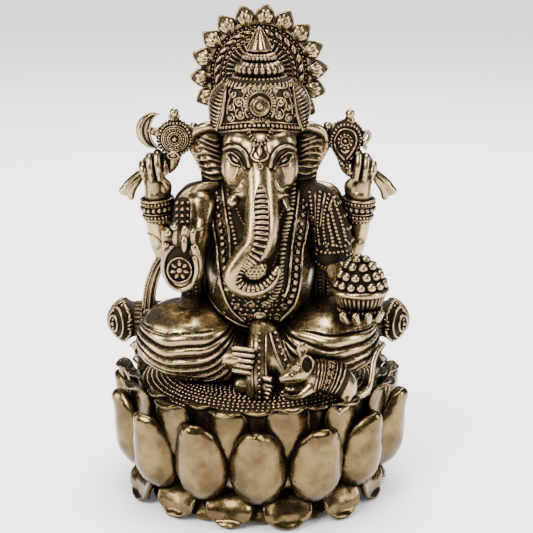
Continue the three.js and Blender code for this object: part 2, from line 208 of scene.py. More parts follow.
def strand(casting, points, normals, width, height=None, sides=8, lift=0.2, blunt=True):
    """A cord or ribbon laid along points: an oval of half-width and half-height, with rounded ends."""
    points = np.asarray(points, float)
    normals = unit(np.broadcast_to(normals, points.shape).astype(float))
    width = np.broadcast_to(width, len(points)).astype(float)
    height = width if height is None else np.broadcast_to(height, len(points)).astype(float)
    course = tangents(points)
    across = unit(np.cross(course, normals))
    raised = np.cross(across, course)
    if blunt:
        points = np.vstack([
            points[0] - 0.7 * height[0] * course[0], points[0] - 0.45 * height[0] * course[0], points,
            points[-1] + 0.45 * height[-1] * course[-1], points[-1] + 0.7 * height[-1] * course[-1],
        ])
        ends = lambda rows: np.concatenate([rows[:1], rows[:1], rows, rows[-1:], rows[-1:]])
        across, raised, width, height = ends(across), ends(raised), ends(width), ends(height)
        shrink = np.ones(len(points))
        shrink[[0, -1]] = 0.25
        shrink[[1, -2]] = 0.72
        width, height = width * shrink, height * shrink
    angle = np.linspace(0, 2 * np.pi, sides, endpoint=False)
    ring = points[:, None] + raised[:, None] * (lift * height)[:, None, None]
    ring = ring + across[:, None] * (width[:, None] * np.cos(angle))[..., None]
    ring = ring + raised[:, None] * (height[:, None] * np.sin(angle))[..., None]
    casting.add(ring.reshape(-1, 3), grid_faces(len(points), sides, wrap=True)[:, ::-1])
    fan = np.arange(1, sides - 1)
    last = (len(points) - 1) * sides
    first_cap = np.stack([np.zeros_like(fan), fan, fan + 1], axis=1)
    last_cap = np.stack([np.zeros_like(fan), fan + 1, fan], axis=1) + last
    casting.faces[3].append(np.vstack([first_cap, last_cap]) + casting.total - len(ring) * sides)


def vertex_normals(points, faces):
    corners = points[faces]
    across = corners[:, 2] - corners[:, 0]
    other = corners[:, 3 if faces.shape[1] == 4 else 1] - corners[:, 1 if faces.shape[1] == 4 else 0]
    face_normals = np.cross(across, other)
    if faces.shape[1] == 3:
        face_normals = -face_normals
    flat = faces.ravel()
    repeated = np.repeat(face_normals, faces.shape[1], axis=0)
    return unit(np.stack([np.bincount(flat, repeated[:, k], len(points)) for k in range(3)], axis=1))


class Clay:
    """A signed distance field on a grid, added to and cut with smooth joins, then skinned as a mesh."""

    def __init__(self, low, high, cell=0.3):
        self.low = np.asarray(low, float)
        self.cell = cell
        shape = np.ceil((np.asarray(high, float) - self.low) / cell).astype(int) + 1
        self.field = np.full(shape, 9.0, np.float32)

    def _window(self, low, high):
        first = np.maximum(np.floor((np.asarray(low) - self.low) / self.cell).astype(int), 0)
        last = np.minimum(np.ceil((np.asarray(high) - self.low) / self.cell).astype(int) + 1,
                          self.field.shape)
        last = np.maximum(last, first)
        axes = [(self.low[k] + self.cell * np.arange(first[k], last[k])).astype(np.float32) for k in range(3)]
        window = tuple(slice(first[k], last[k]) for k in range(3))
        return window, np.meshgrid(*axes, indexing="ij", sparse=True)

    def _merge(self, window, distance, blend, cut):
        old = self.field[window]
        other = -distance if cut else distance
        near = np.maximum(blend - np.abs(old - other), 0) / blend
        if cut:
            self.field[window] = np.maximum(old, other) + near * near * blend / 4
        else:
            self.field[window] = np.minimum(old, other) - near * near * blend / 4

    def ball(self, centre, radii, turn=(0, 0, 0), blend=1.0, cut=False):
        radii = np.broadcast_to(radii, 3).astype(float)
        centre = np.asarray(centre, float)
        reach = radii.max() + blend + 2 * self.cell
        window, grid = self._window(centre - reach, centre + reach)
        rows = np.array(Euler([math.radians(a) for a in turn]).to_matrix().transposed())
        offset = [grid[k] - np.float32(centre[k]) for k in range(3)]
        local = [sum(np.float32(rows[k][j]) * offset[j] for j in range(3)) for k in range(3)]
        near = np.sqrt(sum((local[k] / radii[k]) ** 2 for k in range(3)))
        nearer = np.sqrt(sum((local[k] / radii[k] ** 2) ** 2 for k in range(3)))
        self._merge(window, near * (near - 1) / np.maximum(nearer, 1e-6), blend, cut)
        return self

    def limb(self, route, blend=1.0, cut=False, count=None):
        """A round bar through [x, y, z, radius] rows, on a smooth curve if it has more than two."""
        route = np.asarray(route, float)
        if len(route) > 2:
            route = smooth(route, count or 6 * len(route))
        reach = route[:, 3].max() + blend + 2 * self.cell
        window, _ = self._window(route[:, :3].min(0) - reach, route[:, :3].max(0) + reach)
        whole = np.full(self.field[window].shape, 9.0, np.float32)
        first = [w.start for w in window]
        for start, end in zip(route[:-1], route[1:]):
            low = np.minimum(start[:3], end[:3]) - reach
            high = np.maximum(start[:3], end[:3]) + reach
            part, grid = self._window(low, high)
            offset = [grid[k] - np.float32(start[k]) for k in range(3)]
            span = end[:3] - start[:3]
            share = sum(np.float32(span[k]) * offset[k] for k in range(3)) / max(span @ span, 1e-9)
            share = np.clip(share, 0, 1)
            distance = np.sqrt(sum((offset[k] - share * np.float32(span[k])) ** 2 for k in range(3)))
            distance = distance - (start[3] + share * (end[3] - start[3]))
            inner = tuple(slice(part[k].start - first[k], part[k].stop - first[k]) for k in range(3))
            whole[inner] = np.minimum(whole[inner], distance)
        self._merge(window, whole, blend, cut)
        return self

    def skin(self, relax=2):
        """Surface nets: a vertex in each cell that the surface crosses and a quad on each edge it crosses."""
        field = self.field
        inside = field < 0
        size = np.array(field.shape) - 1
        shifted = lambda a, i, j, k: a[i:i + size[0], j:j + size[1], k:k + size[2]]
        corners = [(i, j, k) for i in (0, 1) for j in (0, 1) for k in (0, 1)]
        filled = sum(shifted(inside, *c).astype(np.int8) for c in corners)
        active = (filled > 0) & (filled < 8)
        cells = np.argwhere(active)
        index = np.full(active.shape, -1)
        index[active] = np.arange(len(cells))
        total = np.zeros((len(cells), 3))
        crossings = np.zeros(len(cells))
        for a in corners:
            for axis in range(3):
                if a[axis]:
                    continue
                b = tuple(a[k] + (k == axis) for k in range(3))
                at_a = field[tuple((cells + a).T)]
                at_b = field[tuple((cells + b).T)]
                crossed = (at_a < 0) != (at_b < 0)
                share = np.where(crossed, at_a / np.where(crossed, at_a - at_b, 1), 0)
                place = np.array(a) + share[:, None] * (np.array(b) - np.array(a))
                total += np.where(crossed[:, None], place, 0)
                crossings += crossed
        points = self.low + self.cell * (cells + total / crossings[:, None])
        quads = []
        for axis in range(3):
            u, v = (axis + 1) % 3, (axis + 2) % 3
            lower = [slice(None)] * 3
            upper = [slice(None)] * 3
            lower[axis], upper[axis] = slice(None, -1), slice(1, None)
            change = inside[tuple(lower)].astype(np.int8) - inside[tuple(upper)].astype(np.int8)
            edges = np.argwhere(change)
            kept = (edges[:, u] > 0) & (edges[:, v] > 0) & (edges[:, u] < size[u]) & (edges[:, v] < size[v])
            edges = edges[kept]
            sign = change[tuple(edges.T)]
            ring = []
            for du, dv in ((1, 1), (0, 1), (0, 0), (1, 0)):
                cell = edges.copy()
                cell[:, u] -= du
                cell[:, v] -= dv
                ring.append(index[tuple(cell.T)])
            quad = np.stack(ring, axis=1)
            quads.append(np.where(sign[:, None] > 0, quad, quad[:, ::-1]))
        faces = np.vstack(quads)
        for _ in range(relax):
            around = np.zeros_like(points)
            for k in range(3):
                sums = sum(np.bincount(faces[:, i], points[faces[:, (i + 1) % 4],
                                                           k] + points[faces[:, i - 1], k],
                                       len(points)) for i in range(4))
                around[:, k] = sums
            degree = 2 * np.bincount(faces.ravel(), minlength=len(points))
            points = 0.5 * points + 0.5 * around / degree[:, None]
        return points, faces


class Surface:
    """A mesh that ornament is laid on."""

    def __init__(self, points, faces):
        self.tree = BVHTree.FromPolygons(points.tolist(), faces.tolist())

    def front(self, route, depth=-90):
        """Places and normals where lines straight back from [x, z] rows meet the surface."""
        return self.cast([(x, depth, z) for x, z in route], [(0, 1, 0)] * len(route))

    def around(self, centre, angles, heights, reach=60):
        """Places and normals at angles (degrees from the front, towards +X) and heights round an axis."""
        angles = np.radians(np.broadcast_to(angles, np.shape(heights) or np.shape(angles)))
        heights = np.broadcast_to(heights, angles.shape)
        out = np.stack([np.sin(angles), -np.cos(angles), 0 * angles], axis=1)
        starts = out * reach + np.stack([angles * 0 + centre[0], angles * 0 + centre[1], heights], axis=1)
        return self.cast(starts, -out)

    def cast(self, starts, directions):
        places, normals = [], []
        for start, direction in zip(starts, directions):
            place, normal, _, _ = self.tree.ray_cast(Vector(start), Vector(direction))
            if place is not None:
                places.append(place)
                normals.append(normal)
        return np.array(places).reshape(-1, 3), np.array(normals).reshape(-1, 3)

    def near(self, points):
        found = [self.tree.find_nearest(Vector(p)) for p in points]
        return np.array([f[0] for f in found]), np.array([f[1] for f in found])


BEAD = ico_ball(2)


# Antique brass

def add_brass(name, bright, deep, dark_level=0.62, satin=0.23, lacquer=0.5):
    """Brass, rubbed bright where exposed and black with patina where sheltered, with casting pits."""
    material = bpy.data.materials.new(name)
    material.use_nodes = True
    nodes, links = material.node_tree.nodes, material.node_tree.links
    shader = nodes["Principled BSDF"]

    def add(kind, **inputs):
        node = nodes.new(kind)
        for key, value in inputs.items():
            node.inputs[key.replace("_", " ")].default_value = value
        return node

    def blend(first, second, share, mode="MIX"):
        mix = nodes.new("ShaderNodeMix")
        mix.data_type = "RGBA"
        mix.blend_type = mode
        for socket, value in ((mix.inputs[6], first), (mix.inputs[7], second), (mix.inputs[0], share)):
            if isinstance(value, bpy.types.NodeSocket):
                links.new(value, socket)
            elif socket is mix.inputs[0]:
                socket.default_value = value
            else:
                socket.default_value = (*value, 1)
        return mix.outputs[2]

    def level(source, low, high, to_low=0.0, to_high=1.0):
        span = nodes.new("ShaderNodeMapRange")
        span.interpolation_type = "SMOOTHSTEP"
        for key, value in zip(("From Min", "From Max", "To Min", "To Max"), (low, high, to_low, to_high)):
            span.inputs[key].default_value = value
        links.new(source, span.inputs["Value"])
        return span.outputs["Result"]

    def sum_of(first, second, operation="ADD"):
        maths = nodes.new("ShaderNodeMath")
        maths.operation = operation
        for socket, value in zip(maths.inputs, (first, second)):
            if isinstance(value, bpy.types.NodeSocket):
                links.new(value, socket)
            else:
                socket.default_value = value
        return maths.outputs[0]

    where = nodes.new("ShaderNodeTexCoord").outputs["Object"]

    def noise(scale, detail=3.0, rough=0.55):
        node = add("ShaderNodeTexNoise", Scale=scale, Detail=detail, Roughness=rough)
        links.new(where, node.inputs["Vector"])
        return node.outputs["Fac"]

    blotches = noise(160.0)
    grime = noise(900.0, 5.0, 0.65)
    grain = noise(5200.0, 2.0)
    tight = add("ShaderNodeAmbientOcclusion", Distance=0.0011)
    tight.samples = 10
    broad = add("ShaderNodeAmbientOcclusion", Distance=0.0055)
    broad.samples = 8
    exposed = sum_of(sum_of(tight.outputs["AO"], 0.6, "MULTIPLY"),
                     sum_of(broad.outputs["AO"], 0.4, "MULTIPLY"))
    exposed = sum_of(exposed, level(grime, 0.25, 0.75, -0.1, 0.06))
    rubbed = level(exposed, dark_level, dark_level + 0.27)

    pits = nodes.new("ShaderNodeTexVoronoi")
    pits.inputs["Scale"].default_value = 520.0
    links.new(where, pits.inputs["Vector"])
    pit_field = sum_of(pits.outputs["Distance"], level(blotches, 0.42, 0.62, 0.5, 0.0))
    unpitted = level(pit_field, 0.07, 0.16)
    clean = sum_of(rubbed, unpitted, "MULTIPLY")
    stain = nodes.new("ShaderNodeAttribute")
    stain.attribute_name = "patina"
    clean = sum_of(clean, level(stain.outputs["Fac"], 0, 1, 1.0, 0.03), "MULTIPLY")

    metal = blend(deep, bright, level(blotches, 0.32, 0.68))
    metal = blend((0.12, 0.075, 0.03), metal, level(exposed, dark_level + 0.08, dark_level + 0.42))
    patina = blend((0.006, 0.005, 0.004), (0.024, 0.017, 0.01), grime)
    links.new(blend(patina, metal, clean), shader.inputs["Base Color"])
    shader.inputs["Metallic"].default_value = 1.0
    gloss = sum_of(level(clean, 0, 1, 0.66, satin), level(grime, 0.3, 0.7, -0.04, 0.09))
    links.new(gloss, shader.inputs["Roughness"])

    heights = sum_of(sum_of(grain, 0.25, "MULTIPLY"), sum_of(grime, 0.75, "MULTIPLY"))
    heights = sum_of(heights, sum_of(unpitted, 0.9, "MULTIPLY"))
    links.new(sum_of(clean, lacquer, "MULTIPLY"), shader.inputs["Coat Weight"])
    shader.inputs["Coat Roughness"].default_value = 0.12
    bump = add("ShaderNodeBump", Strength=0.35, Distance=0.00012)
    links.new(heights, bump.inputs["Height"])
    links.new(bump.outputs["Normal"], shader.inputs["Normal"])
    return material


BRASS = add_brass("antique_brass", (0.46, 0.335, 0.165), (0.3, 0.21, 0.098))
# The petals take a darker copy of the same brass: painted shade that dims what they reflect of the pale
# floor.
SHADED_PETAL_BRASS = add_brass("petal_brass_painted_shade", (0.19, 0.128, 0.053), (0.07, 0.045, 0.018), satin=0.22, lacquer=0.12)
SEAT_BRASS = add_brass("seat_brass", (0.46, 0.335, 0.165), (0.3, 0.21, 0.098), dark_level=0.2)


# Lotus pedestal

def petal(line, half_width, front, back, wrap, point=0.55, blunt=2, rows=44, sides=32, lean=0.0):
    """One petal that faces -Y. Its centreline is [radius, height] rows; front and back are its thickness each
    way from there, wrap is how far its edges bend back, a higher point narrows its ends and a higher blunt
    keeps them thick."""
    share = (1 - np.cos(np.linspace(0, np.pi, rows))) / 2
    centre = smooth(line, 200)
    centre = np.stack([np.interp(share, np.linspace(0, 1, 200), centre[:, k]) for k in (0, 1)], axis=1)
    course = unit(np.gradient(centre, axis=0))
    outward = np.stack([course[:, 1], -course[:, 0]], axis=1)
    broad = np.sin(np.pi * share**0.8) ** point
    broad = np.where(share < 0.5, np.maximum(broad, (2 * share.clip(0, 0.5)) ** 0.4), broad)
    spread = half_width * broad
    angle = np.linspace(0, 2 * np.pi, sides, endpoint=False)
    across = np.cos(angle)
    thick = np.where(np.sin(angle) > 0, front, back) * np.abs(np.sin(angle)) ** 0.85 * np.sign(np.sin(angle))
    edge = np.sqrt(np.clip(1 - np.abs(2 * share - 1) ** blunt, 0, 1))[:, None]
    off = thick * edge - wrap * across**2 * broad[:, None] ** 2
    x = spread[:, None] * across + lean * (share[:, None] ** 3)
    radius = centre[:, :1] + outward[:, :1] * off
    height = centre[:, 1:] + outward[:, 1:] * off
    return np.stack([x, -radius, height], axis=-1).reshape(-1, 3), grid_faces(rows, sides, wrap=True)[:, ::-1]


def hammering(points, depth=0.16):
    """Shallow uneven dents, in a place of their own on every petal."""
    shift = chance.uniform(0, 9, (3, 1))
    wave = np.sin(0.9 * points.T + shift).prod(axis=0)
    wave = wave + 0.6 * np.sin(1.9 * points.T[[1, 2, 0]] + shift).prod(axis=0)
    return depth * wave


def petal_row(casting, phase, count=PETALS, uneven=0.03, **shape):
    for i in range(count):
        points, faces = petal(lean=chance.normal(0, 8 * uneven), **shape)
        points = points * (1 + chance.normal(0, uneven / 2, 3))
        points += vertex_normals(points, faces) * hammering(points)[:, None]
        turn = 2 * np.pi * (i + phase) / count + chance.normal(0, uneven / 3)
        c, s = math.cos(turn), math.sin(turn)
        casting.add(points @ np.array([[c, s, 0], [-s, c, 0], [0, 0, 1]]), faces)


def make_pedestal():
    core = Casting()
    core.add(*lathed([
        [0.01, 2.5], [22, 2.5], [22, 0.3], [22.3, 0.02], [26, 0.02], [26.5, 0.4], [27.6, 5], [27.4, 9],
        [28, 14],
        [28, 23.9], [0.01, 23.9],
    ], 112))
    core.make("pedestal_core_cast", "pedestal_core")

    lower = Casting()
    petal_row(lower, 0.5, line=[[26, 7.2], [28.4, 7.0], [30.6, 4.6], [31.6, 1.9], [33.4, 0.9]],
              half_width=5.9,
              front=1.5, back=1.0, wrap=1.5, point=0.45)
    petal_row(lower, 0.0, line=[[25.5, 5.2], [27.4, 4.8], [29, 2.8], [30.4, 1.0]], half_width=4.8,
              front=1.2, back=0.6, wrap=1.2, point=0.45)
    lower.make("lower_petals", "lower_petal_row", gloss=SHADED_PETAL_BRASS)

    outer = Casting()
    petal_row(outer, 0.0, line=[[27, 8.8], [31.2, 8.6], [34.2, 12], [34.9, 17], [35, 21.4], [35.6, 24.6],
                                [37.4, 26.8]],
              half_width=7.1, front=2.4, back=1.7, wrap=3.4, point=0.64, blunt=6)
    outer.make("outer_petals", "outer_petal_row", gloss=SHADED_PETAL_BRASS)

    middle = Casting()
    petal_row(middle, 0.5, line=[[28.6, 14], [31.4, 18], [32.4, 24], [32.8, 28], [33.7, 30.4], [35.2, 31.3],
                                 [36.6, 31]], half_width=5.2, front=0.7, back=0.7, wrap=0.6, point=0.5,
              blunt=5)
    middle.make("middle_petals", "middle_petal_row", gloss=SHADED_PETAL_BRASS)

    inner = Casting()
    petal_row(inner, 0.0, line=[[29.2, 20], [30.2, 24], [30.5, 27.6], [31, 29.6], [32.2, 30.6], [33.6, 30.6]],
              half_width=4.6, front=0.6, back=0.6, wrap=0.4, point=0.42, blunt=5)
    inner.make("inner_petals", "inner_petal_row", gloss=SHADED_PETAL_BRASS)

    seat = Casting()
    dome_line = np.array([[29.6, 27.4], [26.5, 28.9], [22, 30], [16, 30.5]])
    under = [[0.01, 24.2], [28.8, 24.2], [30.2, 25.6], [30.3, 26.6]]
    seat.add(*lathed([*under, *dome_line, [0.01, 30.5]], 140), patina=1.0)
    dome_points, dome_faces = BEAD
    keep = dome_faces[np.all(dome_points[dome_faces][..., 2] > -0.35, axis=1)]
    dome = (dome_points, keep)
    for radius in np.arange(12.6, 29.9, 1.2):
        count = int(round(2 * np.pi * radius / 1.22))
        angle = 2 * np.pi * (np.arange(count) + chance.random()) / count
        height = np.interp(radius, *dome_line[::-1].T)
        places = np.stack([radius * np.sin(angle), -radius * np.cos(angle), np.full(count, height)], axis=1)
        places += chance.normal(0, 0.03, places.shape)
        sizes = np.full((count, 3), 0.37) * chance.uniform(0.85, 1.08, (count, 1))
        stamp(seat, dome, places, UP, FRONT, sizes)
    seat.make("beaded_seat_cast", "beaded_seat", slot="patinated_brass", gloss=SEAT_BRASS)


# Seated body

def skinned(clay, folds, relax=2, stain=1.5, above=0.12):
    """The clay's mesh raised along its normals by folds(points, normals), and the patina in the valleys."""
    points, faces = clay.skin(relax)
    normals = vertex_normals(points, faces)
    rise = folds(points, normals)
    return points + normals * rise[:, None], faces, np.clip(-stain * rise - above, 0, 1)


def mirrored(points, faces):
    return points * [-1, 1, 1], faces[:, ::-1]


def side_name(side):
    return "right" if side < 0 else "left"


def on_side(side, points, faces):
    """A mesh modelled on the figure's right, which is -X, as it is on the side asked for."""
    return mirrored(points, faces) if side > 0 else (points, faces)


def to_side(route, side):
    """A route of [x, z] rows drawn on the face's +X half, carried to either side of its middle, at X 0.5."""
    return [[0.5 + side * (x - 0.5), z] for x, z in route]


def pleat(phase, skew=0.6, sharp=2.2):
    """From 0 in each valley to 1 on each ridge, as the phase passes one whole number after another."""
    share = phase - np.floor(phase)
    return 1 - np.abs(2 * share**skew - 1) ** sharp


def swag_depth(points, first, second):
    """How far the arc through two poles and a point, seen from the front, sags below the poles' chord."""
    x, z = points[:, 0], points[:, 2]
    to_first = np.arctan2(first[1] - z, first[0] - x)
    to_second = np.arctan2(second[1] - z, second[0] - x)
    seen = np.abs((to_first - to_second + np.pi) % (2 * np.pi) - np.pi)
    sag = abs(first[0] - second[0]) / 2 / np.tan(np.maximum(seen, 0.02) / 2)
    return np.where(z < (first[1] + second[1]) / 2, sag, -sag)


def make_leg(side):
    clay = Clay([-32, -24, 27.5], [3, 9, 52])
    clay.ball([-17.2, -8.8, 40.5], [12, 12.6, 9])
    clay.ball([-22.4, -8.6, 41], [7.2, 8.6, 7.3], blend=2)
    clay.ball([-9.5, -13.8, 38.6], [7.4, 7.2, 6.8], blend=3)
    clay.limb([[-5, 3, 41, 8], [-19, -4, 40, 9]], blend=3)
    clay.ball([-14, -3.5, 31.5], [9.5, 9.5, 4.6], blend=2)
    valleys = np.array([-7.0, -4.2, 0.3, 3.6, 6.7, 9.3, 11.5, 13.6, 16, 19]) + (0.25 if side > 0 else 0)

    def folds(points, normals):
        depth = swag_depth(points, (-4.2, 46.4), (-33.2, 45.2))
        depth = depth + 0.35 * np.sin(points[:, 0] * 0.55 + 1.3 * side) * np.cos(points[:, 2] * 0.3)
        ridge = pleat(np.interp(depth, valleys, np.arange(len(valleys))))
        ridge = np.where(depth < 0.3, 1 - 0.5 * (1 - ridge), ridge)
        return 1.2 * (ridge - 0.75)

    points, faces, patina = skinned(clay, folds, stain=3.2, above=1.2)
    points, faces = on_side(side, points, faces)
    leg = Casting()
    leg.add(points, faces, patina)
    surface = Surface(points, faces)
    hem = smooth([[-17.2, 33.2], [-12.9, 33.9], [-9.4, 35.9], [-6.6, 38.6], [-5.4, 41.2]], 60) * [-side, 1]
    places, normals = surface.front(evenly(hem, 1.08))
    beads(leg, places, normals, 0.42)
    for shift, wide in ((0.95, 0.2), (-1.0, 0.26)):
        edge = hem + [0.35 * -side * -shift, shift * 0.9]
        places, normals = surface.front(evenly(edge, 0.5))
        strand(leg, places, normals, wide, lift=0.1)
    name = side_name(side)
    leg.make(f"{name}_leg_in_folds", f"{name}_folded_leg")
    return surface


def make_feet():
    right = Casting()
    clay = Clay([-13, -27, 33], [3, -14, 46], 0.22)
    clay.limb([[-9, -17.2, 38.2, 2.9], [-5.6, -19.6, 39.4, 2.7], [-3.4, -20.2, 39.7, 2.2]])
    for k in range(5):
        z = 42.8 - 1.5 * k
        length = 1.9 - 0.18 * abs(k - 0.6)
        clay.limb([[-5.6, -21.9 + 0.16 * k, z, 0.72], [-3 + length, -23.2 + 0.16 * k, z - 0.1, 0.68]],
                  blend=0.2)
    right.add(*clay.skin(1))
    right.make("right_foot_toes", "right_foot")

    left = Casting()
    clay = Clay([-6, -27, 27], [9, -14, 39], 0.22)
    clay.limb([[-3.4, -18.4, 32.4, 2.6], [1.4, -20.6, 33, 2.5]])
    clay.limb([[0.4, -21.8, 35.4, 1.0], [3.1, -23, 35.1, 0.85]], blend=0.3)
    for k in range(4):
        z = 33.7 - 1.05 * k
        clay.limb([[1.0, -22.3, z, 0.55], [3.4 - 0.3 * k, -23.1, z - 0.2, 0.5]], blend=0.2)
    left.add(*clay.skin(1))
    left.make("left_foot_toes", "left_foot")


def make_torso():
    clay = Clay([-25, -20, 35], [26, 17, 84])
    clay.ball([0.6, -3, 57.4], [13.4, 14.2, 12.8])
    clay.ball([0.5, -1.4, 48.4], [12.2, 13, 8.6], blend=4)
    clay.ball([0, 3, 38], [16, 11, 9], blend=3)
    clay.ball([0.5, 1, 69.5], [14, 9.4, 10], blend=4)
    clay.ball([0.3, 4.4, 60], [12, 9, 15], blend=4)
    clay.limb([[0.4, 0.8, 74, 7.4], [0.4, -0.6, 83, 6.8]], blend=3)
    for side in (-1, 1):
        clay.limb([[6 * side, 2, 74, 5.6], [15.4 * side + 0.6, 0, 73.4, 5]], blend=3)
        clay.ball([6.2 * side + 0.5, -6.4, 68.6], [5, 3.6, 4.4], blend=2.5)
    clay.ball([0.6, -17.6, 52.6], [0.9, 1.6, 0.9], cut=True, blend=0.6)
    points, faces = clay.skin()
    torso = Casting()
    unrubbed = (np.abs(points[:, 0] - 0.5) < 7.8) & (points[:, 1] < -4) & (points[:, 2] > 49)
    torso.add(points, faces, unrubbed.astype(float))
    torso.make("torso_cast", "belly", "chest_and_shoulders", "hips")
    return Surface(points, faces)


def laid(surface, route, pitch=0.5, count=80):
    """A smooth route of [x, z] rows laid on a surface from the front."""
    return surface.front(evenly(smooth(route, count), pitch))


def scroll(casting, surface, centre, radius, start, turns=1.4, width=0.26, hand=1):
    """A spiral of wire laid on a surface, its outer end at the start angle in degrees."""
    share = np.linspace(0, 1, 26)
    angle = np.radians(start) + hand * 2 * np.pi * turns * share
    reach = radius * (1 - 0.82 * share)
    route = np.stack([centre[0] + reach * np.cos(angle), centre[1] + reach * np.sin(angle)], axis=1)
    places, normals = surface.front(route)
    if len(places) > 3:
        strand(casting, places, normals, width, lift=0.3, sides=6)
        beads(casting, places[-1:], normals[-1:], width * 1.9)


def rosette(casting, place, normal, radius, petals=8, up=UP):
    """A small flower: a domed middle with a ring of pointed petals."""
    angles = 360 / petals * np.arange(petals)
    normal = unit(np.asarray(normal, float))
    rays = turned_about(unit(up - normal * (up @ normal)), np.broadcast_to(normal, (petals, 3)), angles)
    stamp(casting, BEAD, place + rays * radius * 0.62, normal, rays, np.array([0.2, 0.42, 0.2]) * radius)
    beads(casting, np.array([place + normal * 0.06 * radius]), normal, radius * 0.3)


def make_stole(torso):
    """The beaded stole that hangs from both shoulders and meets under the belly, and what fills it."""
    stole = Casting()
    right_outer = [[-11.6, 77.6], [-11.2, 73.4], [-10.2, 67.3], [-9.2, 60.3], [-8.4, 54.8], [-6.4, 50.2],
                   [-3.2, 46.9]]
    right_inner = [[-8.7, 78.2], [-7.9, 73.5], [-6.7, 67.3], [-6.3, 61.8], [-5.6, 56]]
    left_outer = [[12.6, 77.8], [12.4, 73.4], [11.5, 67.3], [10.4, 61.6], [10.0, 56.0], [8.6, 50.8],
                  [5.0, 46.9]]
    left_inner = [[10.0, 78.2], [9.5, 73.7], [8.4, 67.6], [7.7, 62], [7.2, 56.6], [6.2, 53.6]]
    for route, wide in ((right_outer, 0.42), (right_inner, 0.36), (left_outer, 0.46), (left_inner, 0.4)):
        strand(stole, *laid(torso, route), wide, 0.5, lift=0.5)
    for outer, inner, last in ((right_outer, right_inner, 5), (left_outer, left_inner, 6)):
        middle = [[(a[0] + b[0]) / 2, (a[1] + b[1]) / 2] for a, b in zip(outer[:last], inner[:last])]
        places, normals = laid(torso, middle, 1.62)
        beads(stole, places, normals, np.linspace(0.5, 0.82, len(places)), lift=0.55)
        between = (places[1:] + places[:-1]) / 2
        across = np.cross(tangents(places)[:-1], normals[:-1])
        for sign in (-1, 1):
            beads(stole, between + 0.75 * sign * across, normals[:-1], 0.26, lift=0.5)

    strings = Casting()
    rope_route = [[8.6, 79], [8.1, 73.7], [6.5, 67.6], [5.6, 62.1], [5.1, 57.1], [3.6, 53.7], [1.6, 52.2]]
    places, normals = laid(torso, rope_route, 0.86)
    across = turned_about(np.cross(tangents(places), normals), normals, 24)
    stamp(strings, BEAD, places + 0.35 * normals, normals, across, [0.44, 0.98, 0.6])
    places, normals = laid(torso, [[-7.2, 79], [-6.9, 73.2], [-5.6, 67.5], [-4.4, 63]], 0.98)
    beads(strings, places, normals, np.linspace(0.34, 0.56, len(places)), lift=0.5)
    for route, size in (
        ([[-5.9, 75.2], [-4.2, 71.5], [-2.4, 68.4]], 0.27), ([[6.6, 74.1], [4.9, 70.7], [3.2, 68]], 0.27),
        ([[-9.9, 57], [-10.6, 53]], 0.3), ([[6.2, 65.4], [4.6, 63.6], [3.6, 61.6]], 0.25),
    ):
        places, normals = laid(torso, route, 2.5 * size)
        beads(strings, places, normals, size, lift=0.5)

    rng = np.random.default_rng(5)
    field = []
    for z in np.arange(46.6, 56.6, 1.25):
        reach = min(6.6, 1.6 + 0.9 * (z - 45.4))
        row = np.arange(-reach + 0.5, reach + 0.6, 1.45) + rng.normal(0, 0.12)
        field += [[x + 0.3, z + rng.normal(0, 0.1)] for x in row]
    places, normals = torso.front(field)
    beads(stole, places, normals, rng.uniform(0.3, 0.5, len(places)), lift=0.45)
    for x, z, size, start, hand in (
        (-3.6, 47.6, 1.25, 60, 1), (4.5, 47.7, 1.25, 120, -1), (-1.6, 51.6, 1.1, 200, -1),
        (2.4, 51.6, 1.1, -20, 1),
        (-5.0, 50.8, 0.9, 40, 1), (6.2, 50.6, 1.0, 140, -1), (0.4, 54.2, 0.9, 90, 1), (-3.3, 54.6, 1.0, 0, 1),
        (3.4, 55.6, 0.9, 180, 1), (-8.4, 47.9, 0.8, 180, 1), (8.4, 47.4, 0.9, 0, -1),
    ):
        scroll(stole, torso, (x, z), size, start, hand=hand)
    place, normal = torso.front([[0.5, 48.6]])
    disc = lathed([[1.55, -0.6], [1.6, 0.5], [1.35, 0.75], [1.1, 0.55], [0.9, 0.75], [0.55, 0.95],
                   [0.01, 1.05]], 24)
    stamp(stole, disc, place, normal, UP, np.ones(3))
    stole.make("beaded_stole", "stole")
    strings.make("necklaces")

    belt = Casting()
    for drop, wide in ((0, 0.34), (1.5, 0.2)):
        route = [[-14.4, 52.6 - drop], [-11.6, 50.2 - drop], [-8.6, 47.8 - drop], [-4.4, 45.8 - drop],
                 [0.5, 45.0 - drop], [5.4, 45.5 - drop], [9.6, 47.4 - drop], [12.6, 50 - drop],
                 [15, 52.4 - drop]]
        strand(belt, *laid(torso, route), wide, lift=0.5)
    angles = np.arange(95, 266, 6.0)
    for height in (50.5, 48.8, 47.1):
        places, normals = torso.around((0.5, 0), angles, np.full(len(angles), height))
        beads(belt, places, normals, 0.5)
    belt.make("waist_belt")


